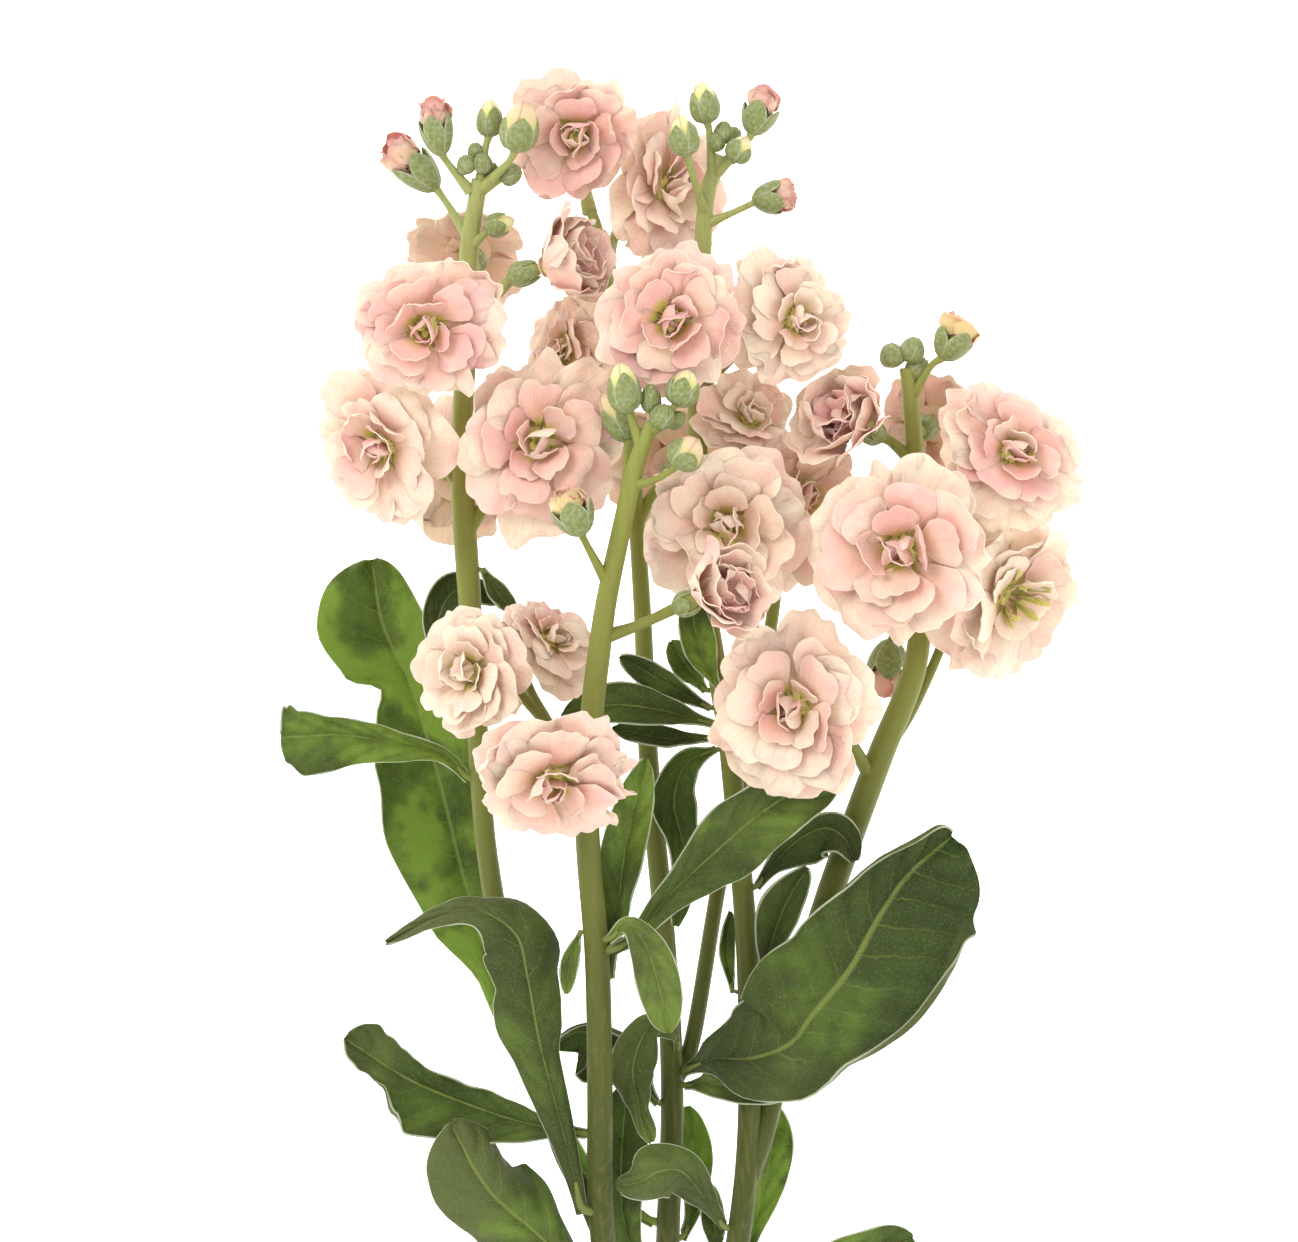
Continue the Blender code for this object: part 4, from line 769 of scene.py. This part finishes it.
def bent(distance, angle):
    """Where a strip ends up whose slope is a function of the distance along it: forward and upward."""
    spots = np.outer(distance, (np.arange(BEND_STEPS) + 0.5) / BEND_STEPS)
    slopes = angle(spots)
    return distance * np.cos(slopes).mean(axis=1), distance * np.sin(slopes).mean(axis=1)


def petal(row, radius, inner, draw, settings):
    """One petal in its bloom's own axes: out from the axis, sideways and up, in millimetres."""
    _, length, spread, rise, fall, root_out, root_up, cup, ruffle, grid = row
    piece, u, v = sheet(*grid)
    # Inner petals stray more
    loose = max(0, inner - 0.4) * 2
    rise = math.radians(rise + draw.uniform(*RISE_STRAY) * (1 + loose))
    fall = math.radians(fall + draw.uniform(*FALL_STRAY) * (1 + loose))
    length *= draw.uniform(*LENGTH_STRAY) * (1 + loose * draw.uniform(-0.1, 0.3))
    tip_curl = draw.uniform(-1.5, 0.5) + inner * draw.uniform(0, 1.6)
    if draw.random() < CURLED_TIPS:
        tip_curl += draw.choice((-1.3, 1.3, 2.0))
    side_curl = [draw.uniform(*SIDE_CURL) * (1 + loose) for _ in range(2)]
    roll = draw.uniform(-0.05, 0.3)
    cup = math.radians(cup + draw.uniform(*CUP_STRAY))
    waves = [draw.uniform(0, math.tau) for _ in range(5)]
    # The end is round, with a notch and small waves
    notch = draw.uniform(0.02, 0.13) * np.exp(-((v - 0.2 * math.sin(waves[0])) / 0.15) ** 2)
    edge = 1 - 0.08 * v ** 2 - 0.2 * v ** 4 - notch + 0.03 * np.sin(5 * v + waves[0])
    edge += 0.008 * np.sin(12 * v + waves[1])
    # The claw is narrow, and the petal fans out beyond it
    claw = np.minimum(1, u / 0.55)
    fan = math.radians(spread) * v * (0.4 + 0.6 * claw * claw * (3 - 2 * claw))
    along = u * edge * np.cos(fan)
    side = u * edge * np.sin(fan)

    def lengthwise(spot):
        return rise + (fall - rise) * spot + tip_curl * np.maximum(0, (spot - 0.6) / 0.4) ** 2

    def crosswise(spot):
        share = np.abs(spot) / 0.7
        curl = np.where(spot > 0, side_curl[0], side_curl[1])
        return roll + np.sign(spot) * (cup * share + curl * share ** 3)

    out, up = bent(along, lengthwise)
    side, bow = bent(side, crosswise)
    # Ruffles: a broad one, a finer one at the end, and one along each side
    strength = ruffle * settings.ruffle
    bow += 0.05 * strength * u ** 2 * np.sin(draw.uniform(1.0, 2.0) * math.pi * v + waves[2])
    bow += 0.035 * strength * u ** 6 * np.sin(draw.uniform(3, 5) * math.pi * v + waves[3])
    bow += 0.04 * strength * v ** 4 * u * np.sin(draw.uniform(1.2, 2.2) * math.tau * u + waves[4])
    slope = lengthwise(along)
    points = np.stack((root_out + length * (out - np.sin(slope) * bow), length * side,
                       root_up + length * (up + np.cos(slope) * bow)), axis=1) * radius
    return piece, points, u, v


def petal_kind(row, number, opened):
    """A row of petals as one bloom has it: opened by some degrees, and coarser in a bloom behind."""
    *start, rise, fall, root_out, root_up, cup, ruffle, grid = row
    if number in BEHIND:
        grid = [round(BEHIND_GRID * count) for count in grid]
    return (*start, rise - opened, fall - opened, root_out, root_up, cup, ruffle, grid)


def throat(middle, radius, axes, rows, pinkness):
    """The low dome in the middle of a bloom that its petals stand on."""
    piece, u, v = sheet(*THROAT_GRID)
    wide = THROAT_WIDTH["open" if rows is OPEN_ROWS else "cupped"]
    around = np.stack((np.cos(math.pi * v), np.sin(math.pi * v)), axis=1) * (wide * radius * u)[:, None]
    height = 0.02 + 0.13 * radius * (1 - u) ** 2
    dome = middle + around @ np.stack(axes[1:]) + np.outer(height, axes[0])
    # The middle of the dome takes the painted shade of the throat, and the dome has half of the painted warm
    # shade
    shape(piece, dome, (0.03 + 0.36 * u, v / 2 + 0.5, pinkness, 0.5))
    weld(piece)
    return piece


def bloom(number, finish, settings):
    """One bloom: rows of single petals round its throat, kept off its neighbours and the shoots."""
    middle, radius, faces, (pink_out, pink_in), kind, _ = BLOOMS[number - 1]
    draw = random.Random(BLOOM_SEED + number)
    middle = np.array(middle, float)
    axis, start, other = axes_round(faces, BLOOM_HINT)
    pressed = neighbours(number) + [(unit(away), share) for away, share in UNEVEN.get(number, [])]
    rows = CUPPED_ROWS if number in CUPPED else OPEN_ROWS
    turn = draw.uniform(0, math.tau)
    openness = draw.uniform(*OPEN_STRAY)
    pieces = [throat(middle, radius, (axis, start, other), rows, pink_out)]
    if number in TUFTED:
        rows = [*rows[:-1], TUFT_ROW]
    for step, row in enumerate(rows):
        turn += ROW_TURN + draw.uniform(-0.2, 0.2)
        inner = step / (len(rows) - 1)
        claw = TUFT_CLAW if row is TUFT_ROW else 1
        row = petal_kind(row, number, openness * inner)
        for count in range(row[0]):
            angle = turn + math.tau * count / row[0] + draw.uniform(-0.25, 0.25) * (1 + inner)
            outward = start * math.cos(angle) + other * math.sin(angle)
            piece, points, u, v = petal(row, radius, inner, draw, settings)
            spots = middle + points @ np.stack((outward, np.cross(axis, outward), axis))
            for away, share in pressed:
                past = (spots - middle) @ away
                spots -= np.where(past > 0, past * (1 - share), 0)[:, None] * away
            spots = off_table(keep_off_shoots(spots, PETAL_GAP))
            # Margins are paler, inner petals pinker, and one petal in seven is pale all over
            margin = np.maximum(0, np.maximum(u, np.abs(v)) - 0.7) / 0.3
            pinkness = pink_out + (pink_in - pink_out) * min(1, inner * 1.4) + draw.uniform(-0.25, 0.22)
            if draw.random() < PALE_PETALS:
                pinkness *= PALE
            pinkness = np.clip(pinkness * (1 - 0.4 * margin ** 2), 0, 1)
            # Painted warm shade, strongest at the claw and fading towards the tip
            warm_shade = np.clip(1.0 - 1.25 * u + draw.uniform(-0.15, 0.3), 0, 1)
            shape(piece, spots, (u * claw * row[1] * radius / CLAW_SCALE, v / 2 + 0.5, pinkness, warm_shade))
            pieces.append(piece)
    body = join(pieces, f"petals_{number:02d}", finish)
    thicken(body, settings.thickness / MM)
    hand_over(body, f"bloom_{number:02d}")


def leaf_half_width(share, half_width, widest, base):
    """Half width of a leaf along its length: a narrow stalk, then a blade with a round end."""
    rise = np.minimum(share / widest, 1)
    end = np.maximum(0, (share - widest) / (1 - widest))
    return np.where(share < widest, base + (half_width - base) * rise * rise * (3 - 2 * rise),
                    half_width * np.sqrt(1 - 0.985 * end * end))


def form_at(share, rows):
    """The columns of a form at each share of the length, eased from one row to the next."""
    rows = np.array([PLAIN_BASE, *[(*row, 0, 0, 0)[:6] for row in rows]], float)
    at = np.clip(np.searchsorted(rows[:, 0], share, side="right") - 1, 0, len(rows) - 2)
    part = (share - rows[at, 0]) / (rows[at + 1, 0] - rows[at, 0])
    part = part * part * (3 - 2 * part)
    return (rows[at, 1:] + (rows[at + 1, 1:] - rows[at, 1:]) * part[:, None]).T


def leaf(number, finish, settings):
    """One leaf: a blade along its midrib, puckered and waved, with its own form, on a short stalk."""
    points, half_width, widest, base, faces_base, faces_tip, fold, light, felt = LEAVES[number - 1]
    phase = random.Random(WAVE_SEED + number).uniform(0, math.tau)
    draw = random.Random(PATCH_SEED + number)
    rows, columns = FORMED_LEAF_GRID if number in FORMS else LEAF_GRID
    piece, u, across = sheet(rows, columns)
    row = np.rint(u * rows).astype(int)
    # The rows stand closer towards the tip, which is round
    shares = 1 - (1 - np.arange(rows + 1) / rows) ** 1.4
    u = shares[row]
    route, directions, length = curve_through(points, shares)
    veins = max(4, round(length / settings.vein_spacing * MM))
    along = directions[row]
    sideways = np.cross(np.outer(1 - u, faces_base) + np.outer(u, faces_tip), along)
    sideways /= np.linalg.norm(sideways, axis=1, keepdims=True)
    upward = np.cross(along, sideways)
    left, right, left_roll, right_roll, more_felt = form_at(u, FORMS.get(number, PLAIN_FORM))
    width = leaf_half_width(u, half_width, widest, base) * np.where(across > 0, left, right)
    roll = np.where(across > 0, left_roll, right_roll)
    side = np.abs(across)

    def crosswise(spot):
        return 2 * math.radians(fold) * spot + roll[:, None] * np.maximum(0, (spot - 0.64) / 0.36) ** 2

    def wave(height, count, shift, lag=0):
        """Waves along the blade, which come a little later on its left side."""
        return height * np.sin(u * count + shift * phase + np.where(across > 0, lag, 0))

    out, lift = bent(side, crosswise)
    lift = width * lift + wave(0.09, 11, 1, 1.3) * np.minimum(1, u * 2) * half_width * side ** 2
    waves = wave(0.05, 31, 2, 2.0) * side ** 3
    waves += 0.09 * np.sin(u * 17 + 3 * phase + np.where(across > 0, 2.6, 0) - side * 2) * side
    # The blade swells between the side veins
    swell = np.abs(np.sin(math.pi * (u * veins - side * 1.6 + 0.5))) ** 0.6 * side * (1.05 - side) * 4
    lift += half_width * (waves + settings.pucker * swell) * np.minimum(1, u * 3)
    lift -= settings.groove / MM * np.exp(-(side * width / 0.9) ** 2)
    spots = route[row] + sideways * (width * np.sign(across) * out)[:, None] + upward * lift[:, None]
    spots = keep_off_shoots(spots, LEAF_THICKNESS / 2 + LEAF_GAP)
    # Painted light and shade: the leaf is lighter on the crests of the swellings between side veins and
    # darker in the hollows, with waves along the blade, on top of the light painted as coming through it
    painted_light = light * (0.75 + 0.45 * swell) + draw.uniform(-0.05, 0.05) + wave(0.1, 9, 1)
    rolled = np.minimum(1, np.abs(roll) / 2) * np.clip((side - 0.74) / 0.1, 0, 1)
    # Past 0.5 from the midrib lies the rim of pale hairs, with a painted sheen of light catching them, as
    # wide on every leaf
    cell = width * 2 / columns
    hair_and_sheen_rim = np.minimum(0.85, settings.hair_and_sheen_rim_width / MM / np.maximum(cell, 0.05))
    past = np.where(side > 0.999, 1 / columns / (1 - hair_and_sheen_rim) - 1 / columns, 0)
    place = (u * veins, 0.5 + across / 2 + np.sign(across) * past, np.clip(painted_light, 0, 1))
    shape(piece, spots, (*place, np.maximum(felt + more_felt, rolled)))
    blade = join([piece], f"blade_{number:02d}", finish)
    thicken(blade, settings.thickness / MM)
    foot = nearest_on_shoots(route[0])
    stalk = tube([(*foot, base * 0.9), (*(0.5 * foot + 0.5 * route[0]), base * 0.8),
                  (*route[1], base * 0.62), (*route[4], 0.45)], 4, (0.3, 0.5, light, felt), 8)
    body = join([blade, stalk], blade.name, finish)
    hand_over(body, f"leaf_{number:02d}")


def tube(points, bevel, place, count):
    """A round closed tube along points of x, y, z and radius."""
    bpy.ops.object.select_all(action="DESELECT")
    bpy.ops.curve.primitive_bezier_curve_add()
    curve = bpy.context.object.data
    route = curve_through(points, np.linspace(0, 1, count + 1))[0]
    curve.splines.clear()
    spline = curve.splines.new("POLY")
    spline.points.add(len(route) - 1)
    for point, (x, y, z, radius) in zip(spline.points, route):
        point.co = (x * MM, y * MM, z * MM, 1)
        point.radius = radius
    curve.dimensions = "3D"
    curve.twist_mode = "MINIMUM"
    curve.bevel_depth = MM
    curve.bevel_resolution = bevel
    curve.use_fill_caps = True
    bpy.ops.object.convert(target="MESH")
    piece = bpy.context.object
    spots = points_of(piece) / MM
    spots[:, 2] = np.maximum(spots[:, 2], 0)
    shape(piece, spots, place)
    weld(piece)
    return piece


def pod_points(bud, height, angle, offset, opening, taper=BUD_TAPER):
    """Points on a bud's skin: height from -1 at its foot to 1 at its tip, angle round its axis."""
    middle, length, radius, points_to = bud
    axis, start, other = axes_round(points_to, BUD_HINT)
    closed = np.sqrt(np.maximum(0, 1 - np.minimum(height, 1) ** 2)) * (1 - taper * height)
    belly = np.where(height > 0, closed + opening * (1.0 - closed) * height, closed)
    out = radius * belly + offset
    return (np.array(middle, float) + np.outer(height * length / 2, axis)
            + (out * np.cos(angle))[:, None] * start + (out * np.sin(angle))[:, None] * other)


def sepals(bud, top, opening, draw, taper=BUD_TAPER):
    """Four overlapping sepals round a bud or a calyx."""
    made = []
    turn = draw.uniform(0, math.tau)
    for count in range(4):
        piece, u, v = sheet(*SEPAL_GRID)
        height = -0.995 + (top + draw.uniform(-0.16, 0.12) * (top < 0.9) + 0.995) * u
        half = math.radians(50) * np.maximum(0.03, 1 - u ** 3.6) ** 0.7
        angle = turn + math.tau * count / 4 + v * half
        swell = 0.2 * (1 - v * v) + 0.1 + 0.1 * (count % 2) + opening * 1.4 * u ** 2
        swell += 0.07 * np.sin(9 * v) * np.sin(math.pi * u)
        spots = pod_points(bud, height, angle, swell * min(1, bud[2] / 3), opening * 0.8, taper)
        shape(piece, off_table(spots), (1, v / 2 + 0.5, u, 1))
        made.append(piece)
    return made


def pod(bud, place, top=1, taper=BUD_TAPER):
    """The closed body of a calyx or bud, just inside its sepals, up to a height."""
    piece, u, v = sheet(*POD_GRID)
    lid = bud[2] * math.sqrt(1 - top * top) * (1 - taper * top)
    offset = -(0.05 + 0.25 * (top < 1)) * np.sin(math.pi * u) - lid * u ** 10
    shape(piece, pod_points(bud, (top + 1) * u - 1, math.pi * v, offset, 0, taper), place)
    weld(piece)
    return piece


def stalk_tube(stalk, foot, radii, bevel, count):
    """A stalk from a shoot to the foot of a calyx or bud; radii at its start, on its way and at its end."""
    first, between, last = radii
    thick = [first] + [between] * (len(stalk) - 1) + [last]
    points = [(*spot, radius) for spot, radius in zip([*stalk, tuple(foot)], thick)]
    return tube(points, bevel, PLAIN_STEM, count)


def stem(finish):
    """The shoots, and the stalk, calyx or bud of every flower, as one piece."""
    draw = random.Random(SEPAL_SEED)
    solid = [tube(points, 8, PLAIN_STEM, 90) for points in SHOOTS.values()]
    leafy = []
    for middle, radius, faces, _, _, stalk in BLOOMS:
        axis = unit(faces)
        size = min(1, 0.45 + radius / 26)
        middle = np.array(middle, float)
        cup = (middle - axis * (CUP_GAP + size * CUP_LENGTH / 2), size * CUP_LENGTH, size * CUP_RADIUS, axis)
        foot = middle - axis * (CUP_GAP + size * CUP_LENGTH * 0.92)
        solid.append(stalk_tube(stalk, foot, BLOOM_STALK, 5, 22))
        solid.append(pod(cup, PLAIN_STEM))
        leafy += sepals(cup, CALYX_TOP, 0.1, draw)
    for middle, length, radius, points_to, stalk, colour, opening in BUDS:
        bud = (middle, length, radius, points_to)
        if stalk:
            foot = np.array(middle) - unit(points_to) * length * 0.44
            solid.append(stalk_tube(stalk, foot, BUD_STALK, 4, 18))
        taper = RIPE_TAPER if opening > RIPE else BUD_TAPER
        solid.append(pod(bud, BUD_BODY, 0.25 - 0.5 * opening if colour else 1, taper))
        top = OPEN_BUD_TOP - 0.35 * opening if colour else CLOSED_BUD_TOP
        leafy += sepals(bud, top, 0.1 * opening, draw, taper)
    leaflets = join(leafy, "sepals", finish)
    thicken(leaflets, SEPAL_WALL)
    hand_over(join([leaflets, *solid], "shoots_and_buds", finish), "stem")


def ripe_petals(bud, pinkness, dryness, draw, settings):
    """Crumpled petals that push out of a bud, rosy inside."""
    middle, length, radius, points_to = bud
    axis, start, other = axes_round(points_to, BUD_HINT)
    stretch = length / radius / 3.7
    made = []
    turn = draw.uniform(0, math.tau)
    for step, row in enumerate(BUD_ROWS):
        turn += BUD_ROW_TURN
        for count in range(row[0]):
            angle = turn + math.tau * count / row[0] + draw.uniform(-0.2, 0.2)
            outward = start * math.cos(angle) + other * math.sin(angle)
            piece, points, u, v = petal(row, radius, step / 2, draw, settings)
            points[:, 2] *= stretch
            spots = np.array(middle, float) + points @ np.stack((outward, np.cross(axis, outward), axis))
            pink = np.clip(pinkness + 0.25 * step + draw.uniform(-0.15, 0.1), 0, 1)
            place = (0.35 + 0.65 * u, v / 2 + 0.5, pink, dryness * (1 - 0.2 * step))
            shape(piece, off_table(spots), place)
            made.append(piece)
    return made


def folded_petals(bud, pinkness, dryness, opening, draw):
    """Petals rolled round each other in three rings, which show at the tip of a closed bud."""
    radius = bud[2]
    made = []
    for ring, count in enumerate((4, 4, 3)):
        turn = draw.uniform(0, math.tau)
        for step in range(count):
            piece, u, v = sheet(*SEPAL_GRID)
            top = 1.0 + 0.3 * opening - 0.06 * ring + draw.uniform(-0.12, 0.06) * (0.3 + opening)
            height = -0.3 + (top + 0.3) * u
            half = math.radians(62 - 8 * ring) * (1 - 0.35 * u ** 4 * (1 - opening))
            angle = turn + math.tau * step / count + v * half + 0.3 * u
            crinkle = opening * u ** 3 * (1.0 * np.sin(3.2 * math.pi * v + draw.uniform(0, 6))
                                          + 0.3 * np.sin(7 * math.pi * v + draw.uniform(0, 6)))
            offset = -0.25 - (0.4 + 0.8 * opening) * ring + 0.22 * v + crinkle
            inward = np.maximum(0, u - draw.uniform(0.5, 0.7)) ** 2 * 4
            offset -= opening * radius * (0.3 + 0.5 * ring) * inward
            spots = pod_points(bud, height, angle, offset, opening * (1.3 - 0.3 * ring))
            pink = np.clip(pinkness + draw.uniform(-0.1, 0.1) + 0.2 * u, 0, 1)
            dry = np.clip(dryness * (0.5 + 0.6 * u ** 2), 0, 1)
            shape(piece, off_table(spots), (u, v / 2 + 0.5, pink, dry))
            made.append(piece)
    return made


def bud_petals(finish, settings):
    """The petals at the tips of all buds, as one piece."""
    draw = random.Random(BUD_SEED)
    pieces = []
    for *bud, _, colour, opening in BUDS:
        if not colour:
            continue
        pinkness, dryness = BUD_KINDS[colour]
        if opening > RIPE:
            pieces += ripe_petals(bud, pinkness, dryness, draw, settings)
        else:
            pieces += folded_petals(bud, pinkness, dryness, opening, draw)
    body = join(pieces, "bud_petals", finish)
    thicken(body, BUD_WALL)
    hand_over(body, "")


def measure(name, description, default):
    """A size that a user can change, in metres."""
    return bpy.props.FloatProperty(name=name, description=description, default=default, unit="LENGTH")


def amount(name, description, default):
    """A plain number that a user can change."""
    return bpy.props.FloatProperty(name=name, description=description, default=default)


def tint(name, description, default):
    """A colour that a user can change, as an sRGB hex value."""
    return bpy.props.StringProperty(name=name, description=description, default=default)


class FLOWER_PG_petals(bpy.types.PropertyGroup):
    thickness: measure("Thickness", "Thickness of a petal", 0.00024)
    ruffle: amount("Ruffle", "How strongly the petals are waved", 1.0)
    cream: tint("Cream", "Pale outer petals", "#E0CBB3")
    pink: tint("Pink", "Inner petals", "#DFA79F")
    # The peach tint is painted warm shade towards the claws
    peach: tint("Peach", "Warm tint towards the claws", "#DFAD86")
    vein: tint("Veins", "Fine veins and creases", "#C98F89")
    throat: tint("Throat", "Claws of the petals", "#C0B450")
    # Painted shade in the middle of a bloom, over the green of the claws
    shaded_throat: tint("Deep throat", "Middle of a bloom", "#77722F")
    bud_yellow: tint("Young bud", "Petals in a young bud", "#D2D095")
    bud_pink: tint("Ripe bud", "Petals in a ripe bud", "#D0A091")
    bud_tip: tint("Bud tips", "Crumpled tips of ripe petals", "#9C625C")
    bud_dry: tint("Dry bud", "Browned petals in a bud", "#CDAE78")


class FLOWER_PG_greens(bpy.types.PropertyGroup):
    thickness: measure("Thickness", "Thickness of a leaf", 0.0005)
    groove: measure("Groove", "Depth of the groove over a midrib", 0.0004)
    vein_spacing: measure("Vein spacing", "Between side veins along a midrib", 0.008)
    # The rim is partly pale hairs and partly a painted sheen
    hair_and_sheen_rim_width: measure("Rim width", "Pale hairs along the margin of a leaf", 0.00022)
    pucker: amount("Pucker", "Height of the swellings between side veins", 0.09)
    dark: tint("Dark leaf", "Leaf with the light on it", "#27310D")
    bright: tint("Lit leaf", "Leaf with light through it", "#677D29")
    underside: tint("Underside", "Felted underside", "#50562E")
    rib: tint("Rib", "Midrib and veins", "#79803F")
    felt: tint("Felt", "Short pale hairs", "#B4B79F")
    young: tint("Young stem", "Stem near the flowers", "#80843B")
    old: tint("Old stem", "Lower stem", "#3F4513")
    streak: tint("Streaks", "Ribs and streaks on a stem", "#716A3C")
    sepal: tint("Sepals", "Calyx and bud scales", "#717A3E")
    pith: tint("Pith", "Freshly cut end", "#CDD3A0")


class FLOWER_PG_stage(bpy.types.PropertyGroup):
    height: measure("Camera height", "Height of the camera over the floor", 2.06)
    lens: amount("Lens", "Focal length in millimetres", 231.0)
    floor: tint("Floor", "Colour of the floor", "#FAFAF8")


class FLOWER_OT_stage(bpy.types.Operator):
    """Lay the floor, light it softly and place the camera"""
    bl_idname = "flower.stage"
    bl_label = "Stage"

    def execute(self, context):
        settings = context.scene.flower_stage
        bpy.ops.object.select_all(action="DESELECT")
        bpy.ops.mesh.primitive_plane_add(size=6)
        floor = context.object
        floor.name = "floor"
        floor.location = (0, 0.2, -0.0001)
        # Opal sheet of a light table: matt and white, glowing a little from below
        finish, tree, shader = new_material("opal_light_table", Roughness=0.9, IOR=1.4, Emission_Strength=1.2,
                                            Emission_Color=(1, 1, 1, 1))
        spot = add_node(tree, "TexCoord", output="Object")
        grain = add_node(tree, "TexNoise", {"Vector": spot, "Scale": 60.0})
        pale = hex_colour(settings.floor)
        darker = [0.985 * part for part in pale[:3]] + [1]
        colour = laid_over(tree, pale, [(darker, grain)])
        tree.links.new(colour, shader.inputs["Base Color"])
        floor.data.materials.append(finish)
        for name, spot, size, power in LAMPS:
            bpy.ops.object.light_add(type="AREA", location=spot)
            lamp = context.object
            lamp.name = name
            lamp.data.size = size
            lamp.data.energy = power
            aim = Vector(LAMP_AIM) - Vector(spot)
            lamp.rotation_euler = aim.to_track_quat("-Z", "Y").to_euler()
        world = bpy.data.worlds.new("room")
        context.scene.world = world
        world.use_nodes = True
        background = world.node_tree.nodes["Background"]
        background.inputs["Color"].default_value = (1, 1, 1, 1)
        background.inputs["Strength"].default_value = ROOM_LIGHT
        context.scene.view_settings.view_transform = "Standard"
        bpy.ops.object.camera_add(location=(*CAMERA_SPOT, settings.height), rotation=(0, 0, 0))
        camera = context.object
        camera.data.lens = settings.lens
        camera.data.sensor_width = SENSOR_WIDTH
        camera.data.clip_end = 20
        context.scene.camera = camera
        return {"FINISHED"}


class FLOWER_OT_stem(bpy.types.Operator):
    """Grow the shoots, stalks, calyces and buds"""
    bl_idname = "flower.stem"
    bl_label = "Stem and buds"

    def execute(self, context):
        stem(stem_material(context.scene.flower_greens))
        return {"FINISHED"}


class FLOWER_OT_bud_petals(bpy.types.Operator):
    """Fold the petals that show at the tips of the buds"""
    bl_idname = "flower.bud_petals"
    bl_label = "Petals in the buds"

    def execute(self, context):
        settings = context.scene.flower_petals
        bud_petals(bud_petal_material(settings), settings)
        return {"FINISHED"}


class FLOWER_OT_leaves(bpy.types.Operator):
    """Grow the leaves"""
    bl_idname = "flower.leaves"
    bl_label = "Leaves"

    def execute(self, context):
        settings = context.scene.flower_greens
        finish = leaf_material(settings)
        for number in range(1, len(LEAVES) + 1):
            leaf(number, finish, settings)
        return {"FINISHED"}


class FLOWER_OT_blooms(bpy.types.Operator):
    """Open the blooms, petal by petal"""
    bl_idname = "flower.blooms"
    bl_label = "Blooms"

    def execute(self, context):
        settings = context.scene.flower_petals
        finish = petal_material(settings)
        for number in range(1, len(BLOOMS) + 1):
            bloom(number, finish, settings)
        return {"FINISHED"}


class FLOWER_PT_panel(bpy.types.Panel):
    """Steps that dress the stem"""
    bl_label = "Stock flower stem"
    bl_idname = "FLOWER_PT_panel"
    bl_space_type = "VIEW_3D"
    bl_region_type = "UI"
    bl_category = "Flower"

    def draw(self, context):
        for operator in OPERATORS:
            self.layout.operator(operator.bl_idname)


OPERATORS = (FLOWER_OT_stage, FLOWER_OT_stem, FLOWER_OT_bud_petals, FLOWER_OT_leaves, FLOWER_OT_blooms)
GROUPS = (
    ("flower_petals", FLOWER_PG_petals),
    ("flower_greens", FLOWER_PG_greens),
    ("flower_stage", FLOWER_PG_stage),
)


def register():
    for name, group in GROUPS:
        bpy.utils.register_class(group)
        setattr(bpy.types.Scene, name, bpy.props.PointerProperty(type=group))
    for part in (*OPERATORS, FLOWER_PT_panel):
        bpy.utils.register_class(part)


def unregister():
    for part in (FLOWER_PT_panel, *reversed(OPERATORS)):
        bpy.utils.unregister_class(part)
    for name, group in reversed(GROUPS):
        delattr(bpy.types.Scene, name)
        bpy.utils.unregister_class(group)


def main():
    register()
    bpy.ops.object.select_all(action="DESELECT")
    bpy.ops.flower.stage()
    bpy.ops.flower.stem()
    bpy.ops.flower.bud_petals()
    bpy.ops.flower.leaves()
    bpy.ops.flower.blooms()
    drop_sheets()


if __name__ == "__main__":
    main()
